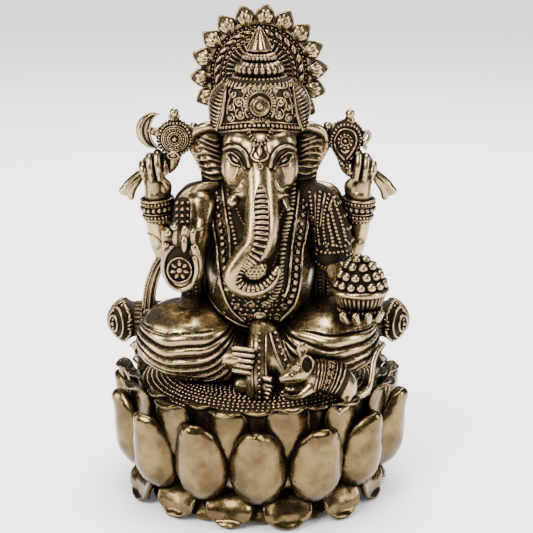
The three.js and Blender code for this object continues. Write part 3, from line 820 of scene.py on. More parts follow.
def make_sash():
    """Straps of beads that fall from the waist between the shins, over the feet."""
    sash = Casting()
    backing = Clay([-6, -25, 28.5], [13, -10, 48], 0.3)
    backing.limb([[0.4, -15.5, 45.6, 2.4], [0.2, -18.6, 41, 3], [0, -20, 35, 3.2], [0, -20.4, 30.6, 2.8]],
                 blend=2)
    backing.limb([[2.8, -16, 45, 2], [5, -18.6, 40, 2.6], [8, -19.6, 34, 3]], blend=2)
    points, faces = backing.skin()
    sash.add(points, faces)
    surface = Surface(points, faces)
    for x in (-1.2, 2.0):
        strand(sash, *laid(surface, [[x, 45], [x - 0.2, 40], [x, 35], [x + 0.1, 30.6]]), 0.3, lift=0.5)
    places, normals = laid(surface, [[0.4, 45.4], [0.3, 40], [0.4, 35], [0.5, 30.8]], 1.42)
    beads(sash, places, normals, 0.5, lift=0.6)
    for shift in (0, 3.1):
        route = [[2.9 + shift * 0.75, 45.4], [4.4 + shift * 0.8, 41], [6.6 + shift * 0.85, 36.6],
                 [8.8 + shift, 33]]
        strand(sash, *laid(surface, route), 0.34, lift=0.5)
    places, normals = laid(surface, [[4.1, 45.2], [5.7, 41.2], [7.9, 37.2], [9.9, 34.4]], 1.5)
    beads(sash, places, normals, 0.55, lift=0.6)
    sash.make("beaded_sash", "waist_sash")


def make_side_drapes():
    """The cloth that falls behind each arm from armpit to hip, painted near-black as the shade between arm
    and body.
    """
    def hang(points, normals):
        sway = 0.05 * points[:, 2] + 0.35 * np.sin(points[:, 2] * 0.2)
        return 0.6 * (pleat(points[:, 0] * 0.62 + sway) - 0.7)

    for side in (-1, 1):
        clay = Clay([-23, -7, 38], [-6, 12, 76], 0.3)
        clay.limb([[-12.0, 2.0, 72, 4.2], [-13.6, 1.4, 63, 4.5], [-14.6, 2.0, 54, 4.5],
                   [-15.0, 3.0, 44, 4.6]])
        points, faces, patina = skinned(clay, hang)
        points, faces = on_side(side, points, faces)
        surface = Surface(points, faces)
        drape = Casting()
        # Painted shade: the whole drape is kept near-black for the shade between arm and body; its pleat
        # valleys go darker still.
        drape.add(points, faces, np.maximum(patina, 0.8))
        for x, lean in ((15.2, 0.05), (16.9, 0.09)):
            route = [[side * (x + lean * k), 62.0 - 3.0 * k] for k in range(5)]
            places, normals = laid(surface, route, 1.0)
            beads(drape, places, normals, 0.33)
        drape.make(f"{side_name(side)}_shaded_side_drape")


# Head, crown and halo

def inked(points, normals, width):
    """A thin black ribbon along a groove, as points, faces and patina."""
    ribbon = Casting()
    strand(ribbon, points, normals, width, 0.18, lift=0.0)
    faces = [np.vstack([f[:, :3], f[:, [0, 2, 3]]]) for f in ribbon.faces[4]] + ribbon.faces[3]
    return np.vstack(ribbon.points), np.vstack(faces), 1.0


def ruled(casting, first, second, thick, bulge=0.0, ribs=0.0, depth=0.0, across=9, facing=FRONT, patina=0.0):
    """A closed leaf between two edges, bulged in the middle, with ribs from one edge to the other."""
    first, second = np.asarray(first, float), np.asarray(second, float)
    rows = len(first)
    share = np.linspace(0, 1, across)
    sheet = first[:, None] * (1 - share[None, :, None]) + second[:, None] * share[None, :, None]
    along = np.linspace(0, 1, rows)
    rise = bulge * np.sin(np.pi * share)[None] * np.sin(np.pi * along)[:, None] ** 0.5
    ridges = (pleat(along * ribs + 1e-6, 1.0, 2.0) - 0.5)[:, None]
    ribbing = depth * ridges * np.sin(np.pi * share)[None] ** 0.4
    edge = np.sin(np.pi * along)[:, None] ** 0.35 * np.sin(np.pi * np.clip(share, 0.02, 0.98))[None] ** 0.35
    normal = unit(np.asarray(facing, float))
    front = sheet + normal * (rise + ribbing + 0.5 * thick * edge)[..., None]
    back = sheet + normal * (rise - 0.5 * thick * edge)[..., None]
    ring = np.concatenate([front, back[:, ::-1]], axis=1)
    shade = patina * (1 - np.clip(2 * ribbing + 0.5, 0, 1)) if depth else np.full((rows, across), patina)
    casting.add(ring.reshape(-1, 3), grid_faces(rows, 2 * across, wrap=True),
                np.hstack([shade, shade]).ravel())


TRUNK = [
    [0.5, -9.5, 88.5, 4.5], [0.7, -13.2, 82.8, 4.05], [0.9, -16.2, 77.4, 3.95], [1.0, -18.2, 72.6, 4.05],
    [0.2, -19.6, 67.8, 3.9], [-2.9, -20.3, 64.2, 3.3], [-5.4, -20.6, 60.9, 2.6], [-4.9, -20.8, 58.2, 2.2],
    [-1.9, -20.9, 56.9, 2.0], [1.4, -20.8, 57.6, 1.8], [3.6, -20.6, 59.7, 1.5], [4.6, -20.4, 61.6, 1.15],
]
CURL = np.array([-0.7, -21.4, 62.3])


def ladder_line(route):
    """Which way the trunk's ribs face: forward at first, and towards the middle of the curl lower down."""
    inward = unit(CURL - route[:, :3])
    share = np.clip((70 - route[:, 2]) / 9, 0, 1)[:, None]
    return unit(FRONT * (1 - 0.28 * share) + 0.85 * share * inward)


def make_head():
    clay = Clay([-13, -26.5, 52], [14, 9, 98], 0.27)
    clay.ball([0.5, -2, 87.6], [8.9, 8.8, 9.2])
    clay.ball([0.5, -4, 82.6], [8.2, 6.4, 5.2], blend=2.5)
    for side in (-1, 1):
        x = 0.5 + side * 0.1
        clay.ball([x + 4.8 * side, -7.6, 90.0], [3.9, 3.4, 3.1], blend=1.2)
        clay.ball([x + 5.6 * side, -5.9, 83.4], [3.5, 4.4, 5.4], blend=2.2)
        clay.ball([x + 5.2 * side, -7.2, 80.6], [2.6, 3.0, 2.4], blend=1.5)
        clay.limb([[x + 2.6 * side, -10.6, 81.8, 2.6], [x + 4.4 * side, -13.4, 78.9, 1.9]], blend=1.5)
    trunk = smooth(TRUNK, 150)
    clay.limb(TRUNK, blend=2.2, count=110)
    surface = Surface(*clay.skin())
    facing = ladder_line(trunk)
    start = np.argmin(np.abs(trunk[:, 2] - 81.2))
    channel = trunk[start:-6].copy()
    channel[:, :3] += facing[start:-6] * (channel[:, 3:] + 0.75)
    channel[:, 3] = 0.42 * trunk[start:-6, 3] + 0.05
    channel[:8, 3] *= np.linspace(0.3, 1, 8)
    clay.limb(channel, blend=0.25, cut=True, count=110)
    for side in (-1, 1):
        for route, wide in (
            ([[7.6, 88.4], [6.0, 88.7], [4.4, 87.3], [3.2, 85.0]], 0.42),
            ([[8.0, 86.6], [6.6, 87.2], [5.0, 86.2], [3.9, 85.0]], 0.5),
            ([[4.4, 81.6], [5.2, 79.8], [7.1, 79.2]], 0.45),
        ):
            places, _ = laid(surface, to_side(route, side), 0.4)
            clay.limb(np.hstack([places, np.full((len(places), 1), wide)]), blend=0.3, cut=True,
                      count=len(places))
    points, faces = clay.skin(1)
    head = Casting()
    head.add(points, faces)
    head.make("head_and_trunk", "head", "trunk")
    return surface, trunk, facing


def make_trunk_ribs(trunk, facing):
    ribs = Casting()
    start = np.argmin(np.abs(trunk[:, 2] - 81.3))
    stations = evenly(np.hstack([trunk, facing])[start:-4], 1.24)
    course = tangents(stations[:, :3])
    for station, along in zip(stations, course):
        middle, radius, forward = station[:3], station[3], unit(station[4:])
        half_angle = np.degrees(np.arcsin(min(1.45, 0.62 * radius) / radius))
        angles = np.linspace(-half_angle, half_angle, 7)
        rays = turned_about(forward, np.broadcast_to(along, (7, 3)), angles)
        strand(ribs, middle + rays * (radius - 0.22), rays, 0.5, 0.5, sides=8, lift=0.35)
    ribs.add(*inked(stations[:, :3] + unit(stations[:, 4:]) * (stations[:, 3:4] - 0.42),
                    unit(stations[:, 4:]), 1.5))
    ribs.make("trunk_ribs")


def make_face(surface):
    """Eyelids, brows, forehead mark and tusks."""
    face = Casting()
    for side in (-1, 1):
        def trace(route, wide, ink=0.0, lift=0.45):
            """A raised line through [distance from the face's middle, height] rows, in a black groove."""
            places, normals = laid(surface, [[0.5 + side * x, z] for x, z in route], 0.3)
            if ink:
                face.add(*inked(places, normals, wide + ink))
            strand(face, places, normals, wide, lift=lift)

        slant = np.array([side * 3.0, 0, 2.0])
        place, normal = surface.front([[0.5 + side * 5.6, 86.3]])
        stamp(face, BEAD, place - 0.1 * normal, normal, slant, [0.95, 2.1, 0.42], 1.0)
        stamp(face, BEAD, place + 0.05 * normal - [0, 0, 0.15], normal, slant, [0.62, 1.25, 0.6])
        stamp(face, BEAD, place + 0.38 * normal + [0, 0, 0.18], normal, slant, [0.34, 0.42, 0.36], 1.0)
        places, normals = laid(surface, [[0.5 + side * x, z] for x, z in
                                         ((7.7, 88.2), (5.8, 88.6), (4.1, 87.4), (3.0, 85.3))], 0.3)
        face.add(*inked(places, normals, 0.5))
        trace([[8.5, 87.9], [7.5, 89.1], [6, 89.5], [4.2, 88.9], [2.8, 87.4], [2.3, 85.4]], 0.46, ink=0.42)
        trace([[7.8, 87.4], [6.6, 87.8], [5, 86.7], [3.3, 84.8]], 0.26, ink=0.1)
        trace([[7.4, 86.6], [7, 85.6], [6, 84.9], [4.5, 84.8]], 0.24, ink=0.3)
        trace([[1.3, 89.9], [1.4, 89], [1.95, 88], [1.3, 87.05], [0, 86.7]], 0.26, ink=0.36)
    places, normals = laid(surface, [[0.5, 90.0], [0.5, 88.9], [0.5, 87.9]], 0.3)
    swell = 0.16 + 0.42 * np.sin(np.linspace(0.25, np.pi, len(places)))
    face.add(*inked(places, normals, swell + 0.35))
    strand(face, places, normals, swell, 0.34, lift=0.45)
    place, normal = surface.front([[0.5, 85.7]])
    ring = lathed([[0.62, -0.4], [0.86, -0.1], [0.86, 0.25], [0.62, 0.4], [0.42, 0.2], [0.4, -0.2]], 20)
    stamp(face, ring, place, normal, UP, np.ones(3))
    beads(face, place, normal, 0.3)
    for drop in (0, 1.05):
        places, normals = laid(surface, [[-2.2, 92.4], [-0.9, 90.9 - drop * 0.2], [0.5, 90.4 - drop * 0.35],
                                         [1.9, 90.9 - drop * 0.2], [3.2, 92.4]], 0.8 - 0.12 * drop)
        beads(face, places + [0, 0, drop], normals, 0.36 - 0.08 * drop, lift=0.5)
    face.make("face_details")

    for name, base, tip, radius, tip_radius in (
        ("right", [-4.2, -12.6, 78.8], [-5.8, -14.6, 77.0], 1.35, 1.25),
        ("left", [5.3, -12.8, 78.8], [7.1, -15.4, 75.4], 1.35, 0.7),
    ):
        clay = Clay(np.minimum(base, tip) - 3.0, np.maximum(base, tip) + 3.0, 0.18)
        clay.limb([[*base, radius], [*tip, tip_radius]])
        if name == "right":
            clay.ball(tip, 1.55, blend=0.3)
        tusk = Casting()
        tusk.add(*clay.skin(1))
        collar_place = np.array([base]) * 0.65 + np.array([tip]) * 0.35
        collar = lathed([[1.2, -0.35], [1.6, -0.2], [1.6, 0.2], [1.2, 0.35], [1.1, 0]], 20)
        stamp(tusk, collar, collar_place, np.array(tip) - base, FRONT, np.ones(3))
        tusk.make(f"{name}_tusk_cast", f"{name}_tusk")


def make_ear(side):
    clay = Clay([-20, -6, 74], [-6, 7, 95], 0.25)
    clay.ball([-12.8, 0.2, 87.8], [4.0, 1.7, 4.6], turn=(0, 0, -12))
    clay.ball([-10.9, 0.2, 81.6], [3.2, 1.5, 5.2], turn=(0, 10, -12), blend=1.5)
    clay.ball([-9.4, 1.0, 87.5], [3.2, 1.5, 6.0], blend=1.0)
    clay.limb([[-8.8, -1.4, 92.2, 1.1], [-12.4, -2.2, 92.6, 1.2], [-15.6, -1.6, 90.9, 1.05],
               [-16.4, -0.8, 88.0, 0.9],
               [-15.0, -0.3, 84.6, 0.7], [-13.6, -0.2, 81.6, 0.6]], blend=0.8)
    clay.ball([-9.6, 0.5, 78.6], [3.4, 1.6, 2.6], blend=1.2)

    def creases(points, normals):
        sway = 0.3 * np.sin(points[:, 0] * 0.9 + points[:, 2] * 0.62)
        wave = points[:, 2] / 1.45 + sway + 0.13 * points[:, 0]
        ahead = np.clip(-normals[:, 1] * 1.6, 0, 1) * np.clip((90.4 - points[:, 2]) / 1.5, 0, 1)
        rim = np.clip((points[:, 0] + 15.2) / 1.2, 0.25, 1)
        return 0.75 * (pleat(wave, 0.8, 1.6) - 0.62) * ahead * rim

    points, faces, patina = skinned(clay, creases, 1)
    if side > 0:
        points, faces = mirrored(points, faces)
        points = points + [0.5, 0, 0]
    ear = Casting()
    ear.add(points, faces, patina)
    name = side_name(side)
    ear.make(f"{name}_ear_folds", f"{name}_ear")


def make_trunk_sweet():
    clay = Clay(CURL - 3.6, CURL + 3.6, 0.16)
    clay.ball(CURL, [3.0, 2.5, 2.75])
    for row in range(-3, 4):
        for column in range(-3, 4):
            x, z = 0.98 * column + 0.45 * (row % 2), 0.92 * row
            if math.hypot(x, z) < 2.75:
                depth = 2.5 * math.sqrt(max(1 - (x * x + z * z) / 8.6, 0))
                clay.ball(CURL + [x, -depth, z], 0.36, blend=0.12, cut=True)
    sweet = Casting()
    sweet.add(*clay.skin(1))
    sweet.make("pierced_sweet", "trunk_sweet")


def make_crown():
    axis = np.array([0.4, -0.8, 0])
    drum = Casting()
    points, faces = lathed([
        [0.01, 90.4], [9.4, 90.4], [10.0, 91.4], [9.9, 92.8], [9.5, 95], [9.1, 98], [8.4, 101], [7.9, 102.6],
        [7.8, 103.5], [7.0, 104.3], [5.7, 104.9], [4.6, 105.1], [0.01, 105.1],
    ], 120)
    points = points + axis
    drum.add(points, faces, 0.93)
    surface = Surface(points, faces)

    angle = np.arange(-180, 180, 6.2)
    arch = 94.3 - 1.9 * np.abs(np.sin(np.radians(np.clip(angle, -90, 90)))) ** 2.2
    places, normals = surface.around(axis[:2], angle, arch)
    beads(drum, places, normals, 0.5, lift=0.55)
    for rise, wide in ((-0.95, 0.34), (0.9, 0.26)):
        fine = np.arange(-180, 181, 3.0)
        arch = 94.3 + rise - 1.9 * np.abs(np.sin(np.radians(np.clip(fine, -90, 90)))) ** 2.2
        strand(drum, *surface.around(axis[:2], fine, arch), wide, lift=0.4)

    place, normal = surface.front([[0.5, 98.7]])
    medallion = lathed([[2.3, -0.6], [2.35, 0.35], [2.1, 0.55], [1.85, 0.35], [1.55, 0.35], [1.35, 0.6],
                        [1.1, 0.35],
                        [0.85, 0.4], [0.75, 0.75], [0.4, 0.95], [0.01, 1.0]], 32)
    stamp(drum, medallion, place, normal, UP, np.ones(3))
    around = np.radians(np.arange(-30, 211, 11.0))
    places, normals = surface.front(np.stack([0.5 + 3.35 * np.cos(around), 99.2 + 3.35 * np.sin(around)],
                                             axis=1))
    rays = np.stack([np.cos(around), 0 * around, np.sin(around)], axis=1)
    stamp(drum, BEAD, places, normals, rays, [0.3, 0.75, 0.42])
    for reach in (2.75, 4.15):
        fine = np.radians(np.arange(-25, 206, 6.0))
        route = np.stack([0.5 + reach * np.cos(fine), 99.2 + reach * np.sin(fine)], axis=1)
        strand(drum, *surface.front(route), 0.2, lift=0.4, sides=6)
    around = np.radians(np.arange(200, 341, 14.0))
    places, normals = surface.front(np.stack([0.5 + 2.9 * np.cos(around), 98.7 + 2.9 * np.sin(around)],
                                             axis=1))
    beads(drum, places, normals, 0.26)

    rosette(drum, *[a[0] for a in surface.front([[0.5, 95.4]])], 1.1, petals=5)
    for side in (-1, 1):
        for x, z, size, start, hand, turns in (
            (2.1, 94.9, 0.8, 150, -1, 1.2), (4.9, 96.7, 1.25, 60, -1, 1.4), (7.3, 95.6, 1.0, 90, 1, 1.3),
            (5.2, 99.4, 1.35, 210, -1, 1.4), (7.4, 98.1, 0.9, 120, 1, 1.2), (3.9, 102.2, 0.9, 200, -1, 1.2),
            (6.7, 101.2, 1.0, 60, -1, 1.3), (1.6, 103.0, 0.6, 180, 1, 1.1),
        ):
            start_angle = start if side > 0 else 180 - start
            scroll(drum, surface, to_side([[x, z]], side)[0], size, start_angle, turns, 0.31, hand * side)
        for route in ([[3.2, 96.2], [3.8, 97.2], [3.6, 98.2]], [[6.2, 97.4], [6.6, 98.9], [6.2, 100.2]],
                      [[2.2, 103.4], [4.4, 102.9], [6.4, 102.6]], [[8.0, 96.4], [7.9, 98.4], [7.3, 100.4]]):
            strand(drum, *laid(surface, to_side(route, side), 0.4), 0.32, lift=0.4, sides=6)
        edge = [[8.1, 103.2], [8.3, 100.0], [8.9, 96.0], [9.7, 92.6]]
        strand(drum, *laid(surface, to_side(edge, side), 0.4), 0.34, 0.5, lift=0.6)
    angle = np.arange(-180, 180, 9.0)
    places, normals = surface.around(axis[:2], angle, np.full(len(angle), 103.1))
    stamp(drum, BEAD, places, normals, UP + 0.5 * np.cross(UP, normals), [0.46, 1.0, 0.45])
    ring = ring_about(axis + [0, 0, 104.5], UP, 6.2, 40, up=FRONT)
    beads(drum, ring, unit(ring - axis - [0, 0, 102]), 0.42)
    for height, size, step in ((100.6, 0.4, 10), (98.2, 0.45, 9), (95.8, 0.4, 8)):
        angle = np.arange(62, 299, step)
        places, normals = surface.around(axis[:2], angle, np.full(len(angle), height))
        stamp(drum, BEAD, places, normals, UP, [size * 0.75, size * 1.5, size])
    drum.make("crown_drum_cast", "crown_drum")

    top = Casting()
    ribbed = lathed([[0.01, 104.6], [4.3, 104.6], [5.5, 105.3], [6.05, 106.4], [5.7, 107.4], [4.6, 108.2],
                     [3.6, 108.4],
                     [0.01, 108.4]], 176, flutes=22, depth=0.13)
    top.add(ribbed[0] + axis, ribbed[1])
    top.make("crown_ribbed_ring_cast", "crown_ribbed_ring")
    collar = Casting()
    notched = lathed([[0.01, 108.3], [3.4, 108.3], [4.15, 108.8], [4.25, 109.4], [3.9, 110.0], [3.2, 110.3],
                      [0.01, 110.3]], 156, flutes=26, depth=0.09)
    collar.add(notched[0] + axis, notched[1])
    collar.make("crown_collar_cast", "crown_collar")

    spire = Casting()
    cone = lathed([[0.01, 110.4], [2.7, 110.4], [3.1, 110.9], [2.9, 111.4], [1.9, 113.2], [0.8, 115.2],
                   [0.35, 115.9],
                   [0.01, 116.0]], 48, flutes=6, depth=0.14)
    spire.add(cone[0] + axis, cone[1])
    for k in range(6):
        turn = math.radians(60 * k + 30)
        ray = np.array([math.sin(turn), -math.cos(turn), 0])
        line = [axis + ray * r + UP * z for r, z in ((2.95, 111.2), (1.95, 113.1), (0.95, 115.0),
                                                     (0.3, 115.9))]
        strand(spire, smooth(line, 14), ray, 0.26, lift=0.1, sides=6)
    spire.make("crown_spire_cast", "crown_spire")

    for side in (-1, 1):
        leaf = Casting()
        inner = smooth([[8.0, -2.6, 102.8], [8.3, -3.4, 99], [9.2, -3.9, 95], [10.2, -3.8, 91.9]], 64)
        outer = smooth([[8.6, 1.8, 103.0], [11.2, 1.4, 100.2], [11.9, 0.6, 96.4], [10.6, -2.6, 91.9]], 64)
        flip = [side, 1, 1]
        shift = [0.4, 0, 0]
        ruled(leaf, (inner * flip + shift), (outer * flip + shift), 1.2, 0.6, 13, 0.75,
              facing=(side * 0.75, -0.66, 0), patina=0.35)
        for line, wide in ((inner, 0.34), (outer, 0.42)):
            strand(leaf, evenly(line * flip + shift, 0.6), np.array([side * 0.7, -0.7, 0]), wide, lift=0.5)
        leaf.make(f"{side_name(side)}_crown_leaf", f"{side_name(side)}_crown_side_leaf")


def facing_front(points):
    """A shape turned about Z, laid over so that its axis points to the front."""
    return np.stack([points[:, 0], -points[:, 2], points[:, 1]], axis=1)


def make_halo():
    centre = np.array([0.3, 10.0, 103.7])
    plate = Casting()
    points, faces = lathed([[0.01, -1.0], [11.4, -1.0], [12.1, -0.6], [12.1, 0.6], [11.4, 0.9],
                            [0.01, 0.9]], 90)
    plate.add(facing_front(points) + centre, faces, 0.95)

    def ring(reach, count, shape_size, slant=0.0, phase=0.0, radial=False, casting=plate, out=0.9):
        angle = 2 * np.pi * (np.arange(count) + phase) / count
        rays = np.stack([np.sin(angle), 0 * angle, np.cos(angle)], axis=1)
        ways = np.stack([np.cos(angle), 0 * angle, -np.sin(angle)], axis=1)
        along = rays if radial else turned_about(ways, np.broadcast_to(FRONT, ways.shape), slant)
        stamp(casting, BEAD, centre + rays * reach + FRONT * out, FRONT, along, shape_size)

    ring(11.55, 68, [0.3, 0.3, 0.34])
    ring(10.35, 26, [0.62, 1.45, 0.7], slant=-24)
    ring(8.85, 40, [0.42, 0.62, 0.5])
    ring(6.6, 40, [0.3, 1.9, 0.45], radial=True)
    for reach in (11.0, 9.5, 8.3):
        angle = np.linspace(0, 2 * np.pi, 91)
        line = centre + reach * np.stack([np.sin(angle), 0 * angle, np.cos(angle)], axis=1) + FRONT * 0.85
        strand(plate, line, FRONT, 0.17, lift=0.3, sides=6, blunt=False)
    ring(4.6, 24, [0.4, 0.4, 0.4])
    ring(8.5, 36, [0.5, 2.6, 0.4], radial=True, out=-1.0)
    ring(11.4, 60, [0.35, 0.35, 0.35], out=-0.8)
    plate.make("halo_plate", "halo_disc")

    buds = Casting()
    body = Clay([-3, -3, -2], [3, 4, 2], 0.2)
    body.ball([0, 0, 0], [2.15, 2.3, 1.15])
    body.ball([0, -1.6, 0], [1.3, 1.2, 0.9], blend=1)
    body.limb([[0, 1.2, 0, 0.9], [0, 2.75, 0, 0.35]], blend=1.4)
    bud_points, bud_faces = body.skin(1)
    lobes = Casting()
    dome_points, dome_faces = ico_ball(4)
    fan = np.degrees(np.arctan2(dome_points[:, 0], dome_points[:, 1] + 1.3))
    ridge = pleat(fan / 20, 1.0, 1.8)
    ridge = np.where(dome_points[:, 1] < -0.72, 1.0, ridge)
    dome = dome_points * (0.85 + 0.15 * ridge)[:, None] * [2.25, 2.3, 1.9] + [0, -0.15, 0.2]
    lobes.add(dome, dome_faces, np.clip(1.0 - 1.9 * ridge, 0, 1))
    rim_angle = np.radians(np.arange(-128, 129, 8.0))
    swell = 2.15 + 0.75 * np.exp(-(np.degrees(rim_angle) / 20) ** 2)
    rim = np.stack([swell * np.sin(rim_angle), swell * np.cos(rim_angle), np.full(len(rim_angle), 0.25)],
                   axis=1)
    strand(lobes, rim, UP, 0.34, 0.44, sides=6)
    lobe_points, lobe_patina = np.vstack(lobes.points), np.concatenate(lobes.patina)
    for k in range(18):
        angle = math.radians(20 * k + 6)
        ray = np.array([math.sin(angle), 0, math.cos(angle)])
        turn = np.array([np.cross(ray, FRONT), ray, FRONT])
        base = centre + ray * 14.0
        buds.add(bud_points @ turn + base, bud_faces, 0.8)
        first = buds.total
        buds.add(lobe_points @ turn + base, np.vstack(lobes.faces[3]), lobe_patina)
        buds.faces[4].append(np.vstack(lobes.faces[4]) + first)
    rim_line, rim_faces = lathed([[11.7, -0.9], [13.2, -0.8], [13.4, 0], [13.2, 0.8], [11.7, 0.9],
                                  [11.7, -0.9]], 90)
    buds.add(facing_front(rim_line) + centre, rim_faces)
    buds.make("halo_buds", "halo_bud_ring")


# Arms, hands and what they hold

def ring_about(centre, normal, radius, count=48, squash=1.0, up=UP):
    """Points round a ring about a normal; squash makes it lower than it is wide."""
    normal = unit(np.asarray(normal, float))
    high = unit(up - normal * np.dot(up, normal))
    wide = np.cross(high, normal)
    angle = np.linspace(0, 2 * np.pi, count, endpoint=False)[:, None]
    return np.asarray(centre) + radius * (np.cos(angle) * wide + squash * np.sin(angle) * high)


def hoop(casting, centre, normal, radius, wide, high=None, squash=1.0, lift=0.0, outward=None):
    """A closed ring of wire. outward, if given, is the way its top faces."""
    points = ring_about(centre, normal, radius, 56, squash)
    points = np.vstack([points, points[:2]])
    facing = unit(points - np.asarray(centre)) if outward is None else np.broadcast_to(outward, points.shape)
    strand(casting, points, facing, wide, high, lift=lift, sides=6, blunt=False)


def bracelet(casting, low, high, low_radius, high_radius, rows, borders):
    """Rows of beads and plain borders round a limb that runs from low to high."""
    low, high = np.asarray(low, float), np.asarray(high, float)
    axis = high - low
    for share, size in rows:
        radius = low_radius + share * (high_radius - low_radius)
        count = int(2 * np.pi * radius / (2.05 * size))
        places = ring_about(low + share * axis, axis, radius, count, up=FRONT)
        beads(casting, places, unit(places - (low + share * axis)), size, lift=0.35)
    for share, size in borders:
        radius = low_radius + share * (high_radius - low_radius)
        hoop(casting, low + share * axis, axis, radius, size, lift=0.2)


def make_rear_arm(side):
    name = side_name(side)
    clay = Clay([-30, -5, 54], [-12, 10, 78], 0.25)
    clay.limb([[-15.6, 4.2, 73.2, 4.2], [-19.4, 4.8, 65, 3.7], [-22.6, 4.0, 58.8, 3.1]])
    clay.limb([[-22.6, 3.4, 58.2, 3.0], [-24.0, 1.6, 62, 2.75], [-25.0, 0.6, 67.5, 2.75],
               [-24.9, 0.2, 72, 3.1],
               [-24.9, 0.2, 75, 3.0]], blend=1.2)
    points, faces = on_side(side, *clay.skin())
    surface = Surface(points, faces)
    arm = Casting()
    arm.add(points, faces)
    if side < 0:
        for line in ([[-27.6, 65.4], [-26.3, 65.2], [-24.7, 64.3], [-24.2, 62.6], [-25.2, 61.3]],
                     [[-24.3, 62.8], [-23.6, 63.8], [-23.5, 65.2]]):
            strand(arm, *laid(surface, line, 0.3), 0.16, 0.3, lift=0.0, sides=6)
    else:
        place, normal = surface.front([[25.6, 63.4]])
        hoop(arm, place[0], normal[0], 0.75, 0.2, outward=normal[0])
    arm.make(f"{name}_rear_arm", f"{name}_rear_forearm", f"{name}_rear_upper_arm")

    band = Casting()
    low, high = np.array([-24.6 * -side, 0.4, 69.4]), np.array([-24.9 * -side, 0.2, 74.4])
    sleeve = lathed([[2.6, 0.0], [3.3, 0.05], [3.5, 0.5], [3.75, 4.2], [3.8, 4.9], [2.6, 5.0]], 48)
    band.add(sleeve[0] + low, sleeve[1], 0.95)
    bracelet(band, low, high, 3.55, 3.85, ((0.14, 0.42), (0.52, 0.62), (0.8, 0.4)),
             ((0.0, 0.26), (0.29, 0.2), (0.69, 0.2), (0.95, 0.34)))
    drops = ring_about(low + [0, 0, -0.35], UP, 3.2, 22, up=FRONT)
    stamp(band, BEAD, drops, unit(drops - low), UP, [0.36, 0.75, 0.4])
    band.make(f"{name}_beaded_bracelet", f"{name}_rear_bracelet")

    fist = Clay([-31, -6, 73], [-18, 5, 89], 0.2)
    fist.limb([[-24.9, 0.4, 73.6, 3.1], [-25.1, 0.4, 77, 2.9], [-25.6, 0.4, 80.6, 2.7]])
    fist.ball([-25.6, 0.2, 82.0], [3.1, 2.5, 3.6], blend=1.0)
    for top_x, top_z, tip_x, tip_z in ((-28.1, 83.4, -27.5, 80.2), (-26.4, 85.2, -25.8, 79.7),
                                       (-24.5, 86.0, -23.8, 79.9)):
        middle = (top_x + tip_x) / 2 - 0.1
        fist.limb([[top_x + 0.3, 0.2, top_z - 0.7, 1.0], [top_x, -2.4, top_z - 0.1, 0.95],
                   [middle, -3.8, (top_z + tip_z) / 2, 0.9], [tip_x, -3.1, tip_z, 0.85]], blend=0.1)
    fist.limb([[-22.9, 0.0, 84.6, 1.1], [-22.6, -2.2, 83.2, 0.9], [-22.5, -3.0, 81.4, 0.8]], blend=0.15)
    fist.limb([[-22.9, 0.2, 75.4, 1.5], [-22.2, -1.8, 77.8, 1.15], [-22.7, -2.8, 79.2, 0.8]], blend=0.7)
    hand = Casting()
    hand.add(*on_side(side, *fist.skin()))
    hand.make(f"{name}_closed_hand", f"{name}_rear_hand")


def knob(casting, place, way, radius):
    """A ball on a short stepped neck, pointing along way."""
    profile = [[0.9 * radius, -1.9 * radius], [1.05 * radius, -1.2 * radius], [0.72 * radius, -0.85 * radius],
               [0.95 * radius, -0.35 * radius], [radius, 0.1 * radius], [0.72 * radius, 0.72 * radius],
               [0.01, radius], [0.01, -1.9 * radius]]
    stamp(casting, lathed(profile, 20), np.asarray([place], float), np.asarray(way, float), FRONT, np.ones(3))


def bead_back(head, centre):
    """Two rings of beads on the back of an emblem."""
    for radius, behind in ((3.6, 1.1), (2.2, 1.5)):
        ring = ring_about(centre, -FRONT, radius, int(2 * np.pi * radius))
        beads(head, ring + [0, behind, 0], -FRONT, 0.4)


